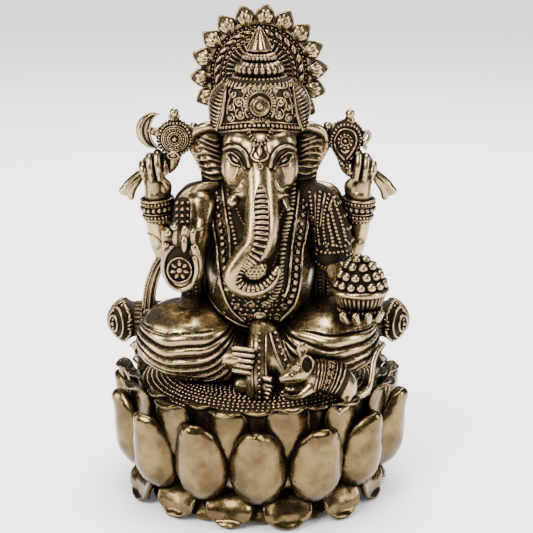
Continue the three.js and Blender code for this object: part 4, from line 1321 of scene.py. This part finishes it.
def make_axe():
    centre = np.array([-20.1, -1.6, 89.7])
    head = Casting()
    clay = Clay(centre - [6, 3.5, 9], centre + [6, 3.5, 7.5], 0.2)
    clay.ball(centre, [4.3, 1.7, 4.3])
    clay.limb([[-20.2, -1.6, 86, 1.9], [-20.7, -1.2, 83.4, 1.5], [-22, -0.8, 81.6, 1.2]], blend=0.6)
    clay.limb([[-20.1, -1.6, 93, 1.5], [-20.2, -1.6, 95, 0.9]], blend=0.6)
    clay.limb([[-17.2, -1.6, 91.2, 1.4], [-15.9, -1.6, 92.3, 0.8]], blend=0.6)
    clay.limb([[-23.4, -1.6, 90.8, 1.3], [-26.6, -1.6, 91.6, 0.8]], blend=0.5)
    points, faces = clay.skin()
    surface = Surface(points, faces)
    head.add(points, faces, np.where(np.hypot(*(points - centre)[:, [0, 2]].T) < 4.6, 0.92, 0.1))
    middle = surface.front([[centre[0], centre[2] - 0.1]])[0][0]
    for radius, size in ((3.75, 0.36), (2.15, 0.3), (1.15, 0.26)):
        ring = ring_about(centre, FRONT, radius, int(2 * np.pi * radius / (2.1 * size)))
        places, normals = surface.front(ring[:, [0, 2]])
        beads(head, places, normals, size, lift=0.3)
    for radius in (3.1, 2.65, 1.6):
        ring = ring_about(centre, FRONT, radius, 60)
        places, normals = surface.front(np.vstack([ring, ring[:2]])[:, [0, 2]])
        strand(head, places, normals, 0.19, 0.3, lift=0.3, sides=6, blunt=False)
    beads(head, middle[None], FRONT[None], 0.6, lift=0.2)
    rim = ring_about(centre, FRONT, 4.35, 30)
    beads(head, rim, unit(rim - centre), 0.42, lift=-0.2)
    bead_back(head, centre)
    knob(head, [-20.2, -1.6, 95.9], UP, 1.15)
    for reach in (-1, 1):
        beads(head, np.array([[-20.2 + 1.0 * reach, -1.9, 95.0]]), FRONT, 0.5)
    knob(head, [-15.5, -1.6, 92.6], unit(np.array([1, 0, 0.62])), 1.0)
    place, normal = surface.front([[-20.5, 85.6]])
    hoop(head, place[0], normal[0], 1.35, 0.26, squash=0.62, outward=normal[0])
    stamp(head, BEAD, place, normal, np.array([1.0, 0, 0]), [0.42, 0.85, 0.4])
    for x, z, size in ((-24.3, 90.9, 0.75), (-25.4, 91.3, 0.6), (-26.3, 91.6, 0.5)):
        beads(head, np.array([[x, -2.2, z]]), FRONT, size)
    turn = np.radians(np.linspace(78, 284, 44))
    outer = np.stack([-25.0 + 4.35 * np.cos(turn), 0 * turn - 1.6, 91.5 + 4.2 * np.sin(turn)], axis=1)
    hollow = np.sin(np.linspace(0, np.pi, 44)) ** 0.55
    inner = outer.copy()
    inner[:, 0] += 3.3 * hollow
    ruled(head, outer, inner, 1.5, 0.2)
    for share, wide in ((0.36, 0.2), (0.95, 0.26)):
        line = outer * (1 - share) + inner * share + FRONT * 0.7
        strand(head, line[3:-3], FRONT, wide, 0.3, lift=0.3, sides=6)
    head.add(*inked((outer * 0.5 + inner * 0.5 + FRONT * 0.85)[4:-4], FRONT, 0.34))
    strand(head, outer[2:-2], unit(outer - [-25.0, -1.6, 91.5])[2:-2], 0.3, 0.3, lift=0.0, sides=6)
    head.make("axe_head_cast", "axe_head")
    make_tail("axe_handle_cast", "axe_handle", -1)


def make_tail(name, node, side):
    """The shaft below the fist, which ends in a split, scrolled butt."""
    clay = Clay([-37, -4.5, 71], [-26, 3, 84], 0.2)
    clay.limb([[-27.6, -0.6, 80.9, 1.35], [-29.4, -0.8, 79.8, 1.3], [-31.2, -1.0, 77.9, 1.6],
               [-32.6, -1.0, 76.4, 1.3]])
    clay.limb([[-29.6, -1.0, 79.0, 1.2], [-31.0, -1.2, 76.8, 1.2], [-31.2, -1.2, 74.9, 0.9]], blend=0.3)
    clay.ball([-33.2, -1.0, 76.3], [1.0, 1.0, 1.0], blend=0.2)
    clay.limb([[-28.8, -2.4, 79.2, 0.3], [-30.6, -2.7, 77.6, 0.4], [-31.9, -2.6, 75.6, 0.4]], blend=0.3,
              cut=True)
    tail = Casting()
    tail.add(*on_side(side, *clay.skin()))
    ridge = smooth([[-28.0, -1.9, 81.3], [-30.0, -2.2, 80.0], [-32.0, -2.4, 77.6], [-33.0, -2.0, 76.2]], 26)
    ridge[:, 0] *= -side
    strand(tail, ridge, FRONT, 0.3, lift=0.1)
    tail.make(name, node)


def make_noose():
    head = Casting()
    centre = np.array([21.4, -1.6, 89.8])
    clay = Clay(centre - [6, 3.5, 10], centre + [7, 3.5, 7], 0.2)
    clay.ball(centre, [4.3, 1.6, 4.3])
    clay.limb([[21.2, -1.6, 87.4, 2.9], [21.0, -1.6, 84.6, 1.7], [21.2, -1.2, 82.2, 1.1],
               [22.6, -0.8, 80.8, 1.1]],
              blend=0.8)
    clay.limb([[21.8, -1.6, 93, 1.4], [22.1, -1.6, 94.6, 0.9]], blend=0.6)
    clay.limb([[18.4, -1.6, 91.6, 1.3], [17.2, -1.6, 92.5, 0.8]], blend=0.6)
    points, faces = clay.skin()
    surface = Surface(points, faces)
    head.add(points, faces, np.where(points[:, 2] > 82.6, 0.92, 0.1))
    drop = smooth([[20.9, 83.2], [18.6, 86.4], [17.9, 89.4], [19.2, 92.2], [21.6, 93.1], [23.9, 92],
                   [24.8, 89.4],
                   [23.6, 86.4], [21.6, 83.4]], 120)
    places, normals = surface.front(evenly(drop, 0.8))
    beads(head, places, normals, 0.36, lift=0.3)
    inside = (drop - [21.3, 88.6]) * 0.74 + [21.2, 88.8]
    strand(head, *surface.front(inside), 0.24, 0.34, lift=0.3, sides=6)
    ring = ring_about([21.1, 0, 89.2], FRONT, 1.5, 11)
    places, normals = surface.front(ring[:, [0, 2]])
    beads(head, places, normals, 0.34, lift=0.3)
    ring = ring_about([21.1, 0, 89.2], FRONT, 0.95, 30)
    strand(head, *surface.front(np.vstack([ring, ring[:2]])[:, [0, 2]]), 0.16, 0.3, lift=0.3, sides=6,
           blunt=False)
    beads(head, *surface.front([[21.1, 89.2]]), 0.45, lift=0.3)
    strand(head, *laid(surface, [[20.2, 87.2], [21.0, 86.6], [21.9, 87.2]], 0.3), 0.3, lift=0.3)
    rim_turn = np.radians(np.arange(-40, 230, 12.0))
    rim = centre + 4.3 * np.stack([np.cos(rim_turn), 0 * rim_turn, np.sin(rim_turn)], axis=1)
    beads(head, rim, unit(rim - centre), 0.4, lift=-0.2)
    bead_back(head, centre)
    knob(head, [22.3, -1.6, 95.6], UP, 1.2)
    knob(head, [16.9, -1.6, 92.7], unit(np.array([-1, 0, 0.5])), 1.05)
    hook = smooth([[24.6, -1.7, 88.4], [25.6, -1.9, 90.2], [26.5, -2.0, 91.3], [27.2, -2.0, 90.2],
                   [26.6, -2.0, 88.9],
                   [25.7, -2.0, 88.2], [26.2, -2.0, 87.2]], 60)
    strand(head, hook, FRONT, 0.5, 0.6, lift=0.0)
    for x, z, size in ((22.6, 85.0, 0.5), (24.0, 86.2, 0.6), (20.4, 83.6, 0.42), (21.7, 82.6, 0.5)):
        beads(head, np.array([[x, -2.9, z]]), FRONT, size)
    head.make("noose_head_cast", "noose_head")
    make_tail("noose_tail_cast", "noose_tail", 1)


def make_right_front_arm():
    """The arm raised in blessing: upper arm, shawl on the shoulder, armlet, and the palm with its rosette."""
    clay = Clay([-24, -19, 53], [-8, 4, 80], 0.25)
    clay.limb([[-14.0, -3.5, 73.4, 4.3], [-14.4, -5.6, 69, 3.7], [-15.2, -7.6, 63.6, 3.3],
               [-16.4, -9.2, 59.2, 3.0]])
    clay.limb([[-16.4, -9.4, 58.6, 2.9], [-17.6, -12.4, 57.8, 2.6], [-18.2, -16, 58.4, 2.5]], blend=1.2)
    points, faces = clay.skin()
    surface = Surface(points, faces)
    arm = Casting()
    arm.add(points, faces)
    for height in (70.6, 69.8):
        line = [[-17.6, height - 0.6], [-15.4, height], [-13.0, height + 0.4]]
        strand(arm, *laid(surface, line, 0.4), 0.3, lift=0.3)
    arm.make("right_blessing_arm", "front_right_upper_arm", "front_right_forearm")

    shawl = Casting()
    for k in range(6):
        share = k / 5
        route = [[-9.8 - 0.3 * share, -3.6 + 1.1 * share, 78.4 + 0.3 - 1.6 * share],
                 [-13.6 - 1.2 * share, -4.6 - 0.2 * share, 78.5 - 2.4 * share],
                 [-17.6 - 0.4 * share, -3.4 - 1.4 * share, 76.4 - 2.3 * share],
                 [-19.9 + 0.5 * share, -2.2 - 2.2 * share, 72.6 - 1.6 * share],
                 [-20.4 + 0.8 * share, -1.6 - 2.8 * share, 69.0 - 0.8 * share]]
        strand(shawl, smooth(route, 40), unit(np.array([-0.5, -0.6, 0.62])), 0.62, 0.75, lift=0.0)
    backing = Clay([-24, -8, 64], [-8, 8, 81], 0.25)
    backing.limb([[-10.4, -1.4, 76.8, 2.3], [-14.0, -1.8, 76.2, 2.9], [-17.4, -1.2, 73.6, 3.2],
                  [-19.0, -0.6, 69.4, 2.6]])
    shawl.add(*backing.skin(), 0.95)
    shawl.make("right_shoulder_shawl")

    armlet = Casting()
    pad = Clay([-23, -20, 65], [-13, -6, 78], 0.25)
    pad.limb([[-17.9, -10.6, 75.2, 1.9], [-18.1, -13.4, 71.8, 2.0], [-18.1, -15.6, 68.6, 1.8]])
    pad_points, pad_faces = pad.skin()
    armlet.add(pad_points, pad_faces, 0.95)
    pad_surface = Surface(pad_points, pad_faces)
    for row in range(5):
        for column in range(-1, 2):
            x, z = -17.9 + 1.15 * column, 75.9 - 1.3 * row
            places, normals = pad_surface.front([[x, z]])
            beads(armlet, places, normals, 0.5 - 0.05 * abs(column), lift=0.3)
    armlet.make("right_beaded_armlet")

    centre = np.array([-18.3, -18.2, 61.6])
    clay = Clay([-25, -23, 53], [-10.5, -10, 75], 0.2)
    clay.ball(centre + [0, 1.6, 0.4], [4.7, 2.4, 6.4])
    clay.ball(centre + [0.3, 1.8, -3.8], [3.6, 2.2, 2.6], blend=0.8)
    for x, z, tip_x, tip_z, radius in ((-21.4, 66, -21.7, 70.2, 1.15), (-19.6, 66.4, -19.6, 71.4, 1.2),
                                       (-17.5, 66.4, -17.3, 70.6, 1.25), (-15.6, 66.2, -15.3, 70.0, 1.15)):
        clay.limb([[x, -16.8, z, radius], [(x + tip_x) / 2, -16.9, (z + tip_z) / 2, radius],
                   [tip_x, -17.3, tip_z, radius * 0.9]], blend=0.35)
    clay.ball(centre + [-0.1, -1.4, 0.7], [3.5, 1.9, 4.9], blend=0.5, cut=True)
    clay.limb([[-14.5, -17.4, 59.6, 1.3], [-14.0, -18.0, 63.2, 1.3], [-14.9, -18.2, 66.6, 1.1]], blend=0.5)
    points, faces = clay.skin()
    surface = Surface(points, faces)
    palm = Casting()
    palm.add(points, faces)
    turn = np.radians(np.arange(118, 392, 9.0))
    rim = np.stack([centre[0] + 3.95 * np.cos(turn), centre[2] + 0.3 + 5.5 * np.sin(turn)], axis=1)
    strand(palm, *surface.front(rim), 0.62, 0.75, lift=0.15)
    stamp(palm, BEAD, centre + [-0.1, -0.05, 0.6], FRONT, UP, [3.5, 4.9, 0.5], 0.97)
    place = np.array([[-18.5, -18.6, 61.2]])
    rosette(palm, place[0], FRONT, 2.5, petals=7)
    hoop(palm, place[0] + FRONT * 0.1, FRONT, 2.85, 0.24, 0.5, squash=1.05, outward=FRONT)
    stamp(palm, BEAD, np.array([[-17.3, -18.4, 67.4]]), FRONT, UP, [0.85, 2.4, 0.8])
    stamp(palm, BEAD, np.array([[-17.9, -18.2, 65.2]]), FRONT, np.array([1.0, 0, 0.1]), [0.28, 1.9, 0.4])
    for x, z, size in ((-21.2, 70.2, 1.1), (-19.6, 71.5, 0.95), (-21.6, 67.2, 0.85)):
        beads(palm, np.array([[x, -17.9, z]]), FRONT, size)
    thumb = Clay([-18.5, -19, 64], [-9, -9, 74], 0.2)
    thumb.limb([[-14.0, -12.0, 70.6, 1.9], [-14.2, -14.0, 69.0, 1.8], [-14.6, -15.8, 66.8, 1.3]])
    thumb_points, thumb_faces = thumb.skin()
    palm.add(thumb_points, thumb_faces)
    thumb_surface = Surface(thumb_points, thumb_faces)
    strand(palm, *laid(thumb_surface, [[-15.6, 70.6], [-14.3, 69.9], [-13.0, 70.5]], 0.3), 0.26, lift=0.3)
    palm.make("right_blessing_palm", "front_right_palm")


def make_left_front_arm():
    """The arm that carries the bowl: beaded sleeve, cuff, forearm and hand."""
    clay = Clay([8, -13, 56], [26, 6, 82], 0.25)
    clay.limb([[11.0, -2.0, 76.4, 2.6], [14.4, -2.6, 74.6, 4.0], [17.0, -3.0, 70.0, 4.6],
               [18.4, -4.0, 64.6, 4.7],
               [18.2, -5.0, 61.2, 4.4]])
    points, faces = clay.skin()
    surface = Surface(points, faces)
    sleeve = Casting()
    sleeve.add(points, faces, 0.95)
    for route, pitch, size in (
        ([[12.6, 77.0], [13.2, 72], [13.4, 66.4], [13.9, 61.6]], 0.95, 0.36),
        ([[15.0, 77.0], [14.7, 73], [14.6, 69.0], [15.0, 65.6]], 0.9, 0.4),
        ([[17.2, 76.3], [16.2, 73], [15.9, 69.8], [16.2, 66.6], [17.0, 63.4]], 0.9, 0.38),
        ([[18.2, 75.4], [19.2, 72.6], [20.3, 69.4], [21.2, 65.6]], 0.95, 0.44),
        ([[17.4, 74.0], [18.0, 71.2], [18.9, 68.2], [19.8, 65.2]], 0.95, 0.46),
        ([[16.9, 71.6], [17.2, 69.4], [17.8, 67.0], [18.4, 64.6]], 0.95, 0.46),
        ([[15.2, 64.6], [16.6, 64.9], [18.4, 64.6], [20.6, 64.2], [22.0, 64.6]], 0.95, 0.42),
        ([[14.6, 62.9], [16.4, 62.7], [18.6, 62.8], [21.4, 63.0]], 0.98, 0.44),
        ([[13.4, 61.2], [15.0, 59.6], [17.4, 58.9], [19.8, 59.4], [22.2, 61.0]], 0.8, 0.36),
    ):
        places, normals = laid(surface, route, pitch)
        beads(sleeve, places, normals, size, lift=0.35)
    for route, wide in (
        ([[13.9, 76.9], [14.0, 72.5], [14.0, 67.5], [14.4, 62.4]], 0.2),
        ([[16.2, 76.6], [15.6, 73.2], [15.2, 69]], 0.26),
        ([[18.9, 75.6], [17.7, 74.7], [17.2, 72.8]], 0.3),
        ([[13.3, 60.5], [15.2, 58.8], [17.6, 58.1], [20.2, 58.7], [22.4, 60.3]], 0.28),
    ):
        strand(sleeve, *laid(surface, route, 0.4), wide, lift=0.3)
    for angle in range(40, 321, 14):
        for height in (62, 65, 68, 71, 74):
            axis = np.array([17.6, -3.4]) if height < 70 else np.array([16.0, -2.8])
            places, normals = surface.around(axis, np.array([angle + 7.0 * (height % 2)]), np.array([height]))
            beads(sleeve, places, normals, 0.42)
    sleeve.make("left_beaded_sleeve", "front_left_upper_arm")

    clay = Clay([13, -24, 45], [33, 0, 63], 0.22)
    clay.limb([[18.4, -5.6, 60.4, 3.4], [20.0, -7.6, 55.8, 3.0], [22.4, -11.2, 51.6, 2.5],
               [24.2, -14.4, 49.8, 2.3]])
    clay.ball([24.6, -17.2, 49.4], [4.6, 4.0, 1.5], blend=1.4)
    for x, y, tip_x, tip_y in ((21.4, -19.4, 20.2, -21.6), (23.6, -20.2, 23.2, -22.4),
                               (25.8, -20.2, 26.2, -22.2),
                               (27.8, -18.8, 29.2, -20.4)):
        clay.limb([[x, y, 48.9, 1.15], [(x + tip_x) / 2, (y + tip_y) / 2, 49.6, 1.1],
                   [tip_x, tip_y, 51.0, 0.95]],
                  blend=0.25)
    points, faces = clay.skin()
    surface = Surface(points, faces)
    arm = Casting()
    arm.add(points, faces)
    strand(arm, *laid(surface, [[16.0, 56.6], [17.8, 56.0], [20.0, 56.6], [21.6, 57.8]], 0.4), 0.28, lift=0.3)
    strand(arm, *laid(surface, [[17.4, 54.8], [18.8, 54.2], [20.6, 54.6]], 0.4), 0.24, lift=0.3)
    bracelet(arm, [21.6, -10.0, 52.6], [22.4, -11.2, 51.6], 2.95, 2.85, ((0.0, 0.42), (0.8, 0.42)), ())
    arm.make("left_bowl_arm", "front_left_forearm", "front_left_hand")


def make_bowl():
    axis = np.array([24.4, -16.4, 0])
    bowl = Casting()
    body, body_faces = lathed([[0.01, 49.9], [3.2, 49.9], [4.6, 51.2], [5.9, 53.2], [6.5, 55.2],
                               [6.4, 55.6], [0.01, 55.7]],
                              132, flutes=33, depth=0.16)
    bowl.add(body + axis, body_faces, 0.25)
    rim = lathed([[5.8, 55.2], [6.7, 55.1], [7.15, 55.7], [7.0, 56.4], [6.4, 56.7], [5.8, 56.4],
                  [5.8, 55.2]], 72)
    bowl.add(rim[0] + axis, rim[1])
    hoop(bowl, axis + [0, 0, 54.9], UP, 6.65, 0.22)
    for count, radius, height, size in ((30, 4.9, 51.2, 0.44), (12, 3.9, 50.1, 0.5)):
        ring = ring_about(axis + [0, 0, height], UP, radius, count, up=FRONT)
        beads(bowl, ring, unit(ring - axis - [0, 0, height + 1]), size)
    bowl.make("offering_bowl", "sweets_bowl")

    heap = Casting()
    core = lathed([[0.01, 55.9], [6.1, 55.9], [5.6, 57.8], [4.5, 60], [2.9, 61.8], [1.2, 62.7],
                   [0.01, 62.9]], 48)
    heap.add(core[0] + axis, core[1], 1.0)
    ball_points, ball_faces = ico_ball(3)
    for count, radius, height, phase in ((15, 5.65, 57.5, 0), (12, 4.7, 59.7, 0.5), (8, 3.05, 61.7, 0.2),
                                         (3, 1.25, 63.1, 0.6)):
        for k in range(count):
            turn = 2 * math.pi * (k + phase) / count
            place = axis + [radius * math.sin(turn), -radius * math.cos(turn), height]
            wobble = chance.uniform(-0.08, 0.08, 3)
            size = 1.18 + chance.uniform(-0.05, 0.05)
            heap.add(ball_points * size + place + wobble, ball_faces)
    heap.make("round_sweets", "heap_of_sweets")


def make_scarf_ends():
    for side in (-1, 1):
        outer = smooth([[-24.3, 1.4, 60.0], [-26.4, 1.8, 56.8], [-28.3, 2.4, 51.6], [-29.2, 2.6, 46.2],
                        [-29.3, 2.4, 43.6]], 44)
        inner = smooth([[-22.2, 0.6, 58.6], [-24.0, 1.0, 56.2], [-25.6, 1.6, 51.4], [-26.3, 2.0, 46.2],
                        [-26.3, 2.0, 43.6]], 44)
        for line in (outer, inner):
            line[:, 0] *= -side
        scarf = Casting()
        ruled(scarf, outer, inner, 1.7, 0.3, patina=0.6)
        for share, wide in ((0.02, 0.34), (0.22, 0.2), (0.98, 0.32), (0.6, 0.24)):
            raised = FRONT * (0.5 + 0.5 * math.sin(math.pi * share))
            strand(scarf, outer * (1 - share) + inner * share + raised, FRONT, wide, 0.4, lift=0.0)
        beads(scarf, evenly(outer * 0.88 + inner * 0.12 + FRONT * 0.75, 0.9), FRONT, 0.26)
        knot = np.array([27.6 * side, 1.4, 43.6])
        hoop(scarf, knot, FRONT, 1.3, 0.5, outward=FRONT)
        beads(scarf, knot[None] + FRONT * 0.3, FRONT, 0.75)
        scarf.make(f"{side_name(side)}_scarf_fall", f"{side_name(side)}_scarf_end")


# Bolster and mouse

def make_bolster():
    axis = np.array([0, 5.0, 41.4])

    def across(points, side=1):
        return np.stack([side * points[:, 2], side * points[:, 0], points[:, 1]], axis=1) + axis

    roll = Casting()
    body = lathed([[0.01, -32], [4.3, -32], [4.7, -31.2], [4.75, 31.2], [4.3, 32], [0.01, 32]], 72,
                  flutes=24, depth=0.1)
    roll.add(across(body[0]), body[1], 0.6)
    for x in np.arange(-29.5, 30, 3.0):
        ring = across(ring_about([0, 0, x], UP, 4.7, 24, up=FRONT))
        beads(roll, ring, unit(ring - axis - [x, 0, 0]), 0.34)
    roll.make("bolster_roll", "bolster")

    for side in (-1, 1):
        end = Casting()
        centre = np.array([34.0 * side, 4.6, 41.3])
        outward = unit(np.array([0.62 * side, -0.78, 0]))
        clay = Clay(centre - [5, 6.5, 7], centre + [5, 6.5, 7], 0.25)
        clay.limb([[30.5 * side, 5, 41.4, 4.4], [33.6 * side, 4.8, 41.4, 4.6]])
        clay.ball(centre, [3.0, 4.6, 5.3], blend=0.8)
        points, faces = clay.skin()
        end.add(points, faces, 0.92)
        surface = Surface(points, faces)
        for reach, count, size in ((0.98, 30, [0.42, 1.0, 0.6]), (0.99, 30, [0.3, 0.3, 0.3])):
            for facing in (outward, -FRONT * 0.8 + outward * [1, 0, 0]):
                facing = unit(facing)
                ring = ring_about(centre, facing, 4.1, count, squash=1.22)
                start = ring * reach + centre * (1 - reach) + facing * 9
                places, normals = surface.cast(start, np.broadcast_to(-facing, start.shape))
                rays = unit(places - centre)
                stamp(end, BEAD, places, normals, rays, size)
        for radius, wide in ((2.9, 0.34), (1.5, 0.36)):
            for facing in (outward, unit(outward * [1, -1, 1])):
                ring = ring_about(centre, facing, radius, 44, squash=1.3)
                start = np.vstack([ring, ring[:2]]) + facing * 9
                places, normals = surface.cast(start, np.broadcast_to(-facing, start.shape))
                strand(end, places, normals, wide, 0.45, lift=0.3, blunt=False)
        for facing in (outward, unit(outward * [1, -1, 1])):
            for shift in (-1.1, 0, 1.1):
                start = centre + [0, 0, shift] + facing * 9
                places, normals = surface.cast([start], [-facing])
                beads(end, places, normals, 0.6 - 0.15 * abs(shift), lift=0.3)
        end.make(f"{side_name(side)}_bolster_cap", f"{side_name(side)}_bolster_end")


def make_mouse():
    clay = Clay([2, -34, 29], [18, -20, 47], 0.16)
    clay.ball([10.1, -27.4, 39.3], [2.8, 2.5, 2.7])
    clay.limb([[9.0, -28.0, 38.7, 2.2], [7.2, -28.9, 38.2, 1.45], [5.8, -29.4, 37.8, 0.8]], blend=0.9)
    clay.ball([12.4, -25.6, 37.8], [2.7, 2.5, 2.9], blend=1.2)
    clay.ball([8.9, -29.4, 40.6], [0.9, 0.7, 0.7], blend=0.4)
    clay.ball([11.6, -28.4, 41.1], [1.75, 0.9, 2.3], turn=(0, -12, 15), blend=0.3)
    clay.limb([[10.4, -26, 40.8, 0.9], [10.5, -25.8, 42.8, 0.7]], blend=0.5)
    clay.ball([10.5, -25.7, 43.7], [1.35, 0.6, 1.9], turn=(0, 8, -10), blend=0.4)
    hollow, hollow_size = np.array([11.6, -29.2, 41.1]), np.array([1.25, 1.1, 1.75])
    clay.ball(hollow, hollow_size, turn=(0, -12, 15), blend=0.15, cut=True)
    points, faces = clay.skin()
    surface = Surface(points, faces)
    head = Casting()
    head.add(points, faces, (np.linalg.norm((points - hollow) / hollow_size, axis=1) < 1.12).astype(float))
    hoop(head, hollow + [0, 0.4, 0], [0.25, -1, 0.1], 1.45, 0.2, squash=1.36, outward=FRONT)
    place, normal = surface.front([[8.1, 39.1]])
    hoop(head, place[0] + normal[0] * 0.05, normal[0], 0.78, 0.2, squash=0.85, outward=normal[0])
    head.add(*inked(ring_about(place[0], normal[0], 0.45, 20), normal[0], 0.3))
    beads(head, place, normal, 0.4)
    place, normal = surface.front([[9.1, 40.9]])
    beads(head, place, normal, 0.34)
    strand(head, *laid(surface, [[5.4, 37.2], [6.8, 36.9], [8.6, 36.9]], 0.25), 0.13, lift=0.1, sides=6)
    head.make("mouse_head_cast", "mouse_head")

    spine = smooth([[13.0, -25.2, 37.2], [16, -24.8, 36.5], [19, -24.6, 35.5], [22, -24.4, 34.1]], 60)
    clay = Clay([4, -33, 27.5], [30, -17, 43], 0.2)
    clay.limb([[13.0, -25.2, 37.2, 3.2], [16, -24.8, 36.5, 3.9], [18.6, -24.6, 35.6, 4.0],
               [20.2, -24.5, 34.4, 3.5]])
    clay.ball([20.8, -24.4, 32.8], [2.5, 2.8, 3.2], blend=1)
    clay.limb([[12.6, -27.2, 34.8, 1.7], [9.8, -28.6, 33.1, 1.05], [7.6, -29.1, 33, 0.85],
               [6.2, -29.2, 34, 0.7]],
              blend=0.8)
    clay.limb([[12, -25.6, 35, 1.5], [9.6, -27.2, 34.2, 0.9], [7, -28.4, 34.8, 0.7]], blend=0.6)
    clay.ball([7.6, -29.2, 35.2], [1.2, 1.0, 0.7], blend=0.2)
    clay.limb([[21, -26.4, 32.2, 1.5], [20.9, -27.9, 30.4, 0.9], [19.7, -28.6, 29.7, 0.75]], blend=0.5)
    points, faces = clay.skin()
    surface = Surface(points, faces)
    course = tangents(spine)
    nearest = np.linalg.norm(points[:, None] - spine[None], axis=2).argmin(axis=1)
    under_cloth = (nearest > 5) & (nearest < 50) & (points[:, 2] > spine[nearest, 2] - 3.2)
    under_cloth &= np.linalg.norm((points - spine[nearest])[:, [0, 2]], axis=1) < 4.6
    body = Casting()
    body.add(points, faces, under_cloth.astype(float))

    def hoop_on_body(share, low=-125, high=125, step=4.0):
        """Points and normals over the body at one station of its spine, from flank to flank."""
        middle, way = spine[int(share * 59)], course[int(share * 59)]
        angle = np.arange(low, high + 0.1, step)
        rays = turned_about(np.broadcast_to(UP, (len(angle), 3)), np.broadcast_to(way, (len(angle), 3)),
                            angle)
        return surface.cast(middle + rays * 9, -rays)

    beads(body, *hoop_on_body(0.05, low=-150, high=60, step=10.5), 0.36, lift=0.3)
    for share, wide in ((0.14, 0.28), (0.24, 0.28), (0.33, 0.17), (0.66, 0.17), (0.75, 0.28), (0.85, 0.26)):
        places, normals = hoop_on_body(share)
        strand(body, places, normals, wide, 0.42, lift=0.15)
    for angle in range(-112, 113, 28):
        place, normal = hoop_on_body(0.5, low=angle, high=angle)
        for leaf in range(4):
            way = turned_about(course[30:31], normal, 90.0 * leaf + 45)
            stamp(body, BEAD, place + 0.5 * way, normal, way, [0.26, 0.44, 0.3])
    for share in (0.41, 0.59):
        places, normals = hoop_on_body(share, low=-98, high=98, step=14)
        beads(body, places, normals, 0.24, lift=0.3)
    for x, z in ((5.8, 34.6), (5.9, 33.7), (6.2, 32.9), (6.8, 35.6)):
        beads(body, np.array([[x, -29.7, z]]), FRONT, 0.36)
    for turn in (-30, 0, 30):
        toe = [[20.4, -28.6, 29.8], [19.6, -29.3 + 0.006 * turn, 29.3],
               [18.8 + 0.01 * abs(turn), -29.6, 29.0]]
        strand(body, smooth(toe, 8), UP, 0.28, lift=0.0, sides=6)
    body.make("mouse_body_with_saddlecloth", "mouse_body")

    tail = Casting()
    route = smooth([[22.8, -23.4, 31.2, 1.1], [24.6, -22.2, 30.9, 1.0], [26.6, -20.6, 32, 0.8],
                    [27.5, -18.6, 34.8, 0.72],
                    [27.9, -17, 37.4, 0.68], [28.9, -15.8, 39.8, 0.6], [30.6, -14.8, 41.6, 0.45]], 60)
    clay = Clay([20, -26, 28.5], [33, -12, 44], 0.18)
    clay.limb(route)
    tail.add(*clay.skin())
    tail.make("mouse_tail_cast", "mouse_tail")


# Studio: a pale floor, soft boxes and a dim surround for the metal to reflect

def add_studio():
    floor_mesh = bpy.data.meshes.new("studio_floor")
    wide = 1.6
    floor_mesh.from_pydata([(-wide, -wide, 0), (wide, -wide, 0), (wide, wide, 0), (-wide, wide, 0)], [],
                           [(0, 1, 2, 3)])
    pale = bpy.data.materials.new("pale_floor")
    pale.use_nodes = True
    shader = pale.node_tree.nodes["Principled BSDF"]
    shader.inputs["Base Color"].default_value = (0.9, 0.9, 0.9, 1)
    shader.inputs["Roughness"].default_value = 1.0
    shader.inputs["Specular IOR Level"].default_value = 0.0
    floor_mesh.materials.append(pale)
    floor = bpy.data.objects.new("studio_floor", floor_mesh)
    bpy.context.scene.collection.objects.link(floor)

    world = bpy.data.worlds.new("surround")
    bpy.context.scene.world = world
    world.use_nodes = True
    nodes, links = world.node_tree.nodes, world.node_tree.links
    seen = nodes["Background"]
    seen.inputs["Color"].default_value = (1, 1, 1, 1)
    seen.inputs["Strength"].default_value = 1.8
    reflected = nodes.new("ShaderNodeBackground")
    reflected.inputs["Color"].default_value = (0.95, 0.97, 1, 1)
    reflected.inputs["Strength"].default_value = 0.16
    path = nodes.new("ShaderNodeLightPath")
    choose = nodes.new("ShaderNodeMixShader")
    links.new(path.outputs["Is Glossy Ray"], choose.inputs[0])
    links.new(seen.outputs[0], choose.inputs[1])
    links.new(reflected.outputs[0], choose.inputs[2])
    links.new(choose.outputs[0], nodes["World Output"].inputs["Surface"])

    def soft_box(name, place, width, height, power, target=(0, 0, 0.05)):
        data = bpy.data.lights.new(name, "AREA")
        data.shape = "RECTANGLE"
        data.size, data.size_y = width, height
        data.energy = power
        lamp = bpy.data.objects.new(name, data)
        lamp.location = place
        lamp.rotation_euler = (Vector(target) - Vector(place)).to_track_quat("-Z", "Y").to_euler()
        bpy.context.scene.collection.objects.link(lamp)

    soft_box("key_box", (-0.26, -0.44, 0.46), 0.22, 0.22, 5.0)
    soft_box("side_box", (0.5, -0.2, 0.26), 0.12, 0.36, 2.4)
    soft_box("left_box", (-0.5, -0.12, 0.2), 0.12, 0.36, 2.0)
    soft_box("top_box", (0.02, 0.0, 0.6), 0.3, 0.22, 3.4)
    soft_box("back_box", (0.06, 0.44, 0.5), 0.46, 0.34, 5.0)


add_camera()
make_pedestal()
for leg_side in (-1, 1):
    make_leg(leg_side)
make_feet()
torso_surface = make_torso()
make_stole(torso_surface)
make_sash()
make_side_drapes()
head_surface, trunk_route, trunk_facing = make_head()
make_trunk_ribs(trunk_route, trunk_facing)
make_face(head_surface)
for ear_side in (-1, 1):
    make_ear(ear_side)
make_trunk_sweet()
make_crown()
make_halo()
for arm_side in (-1, 1):
    make_rear_arm(arm_side)
make_axe()
make_noose()
make_right_front_arm()
make_left_front_arm()
make_bowl()
make_scarf_ends()
make_bolster()
make_mouse()
add_studio()
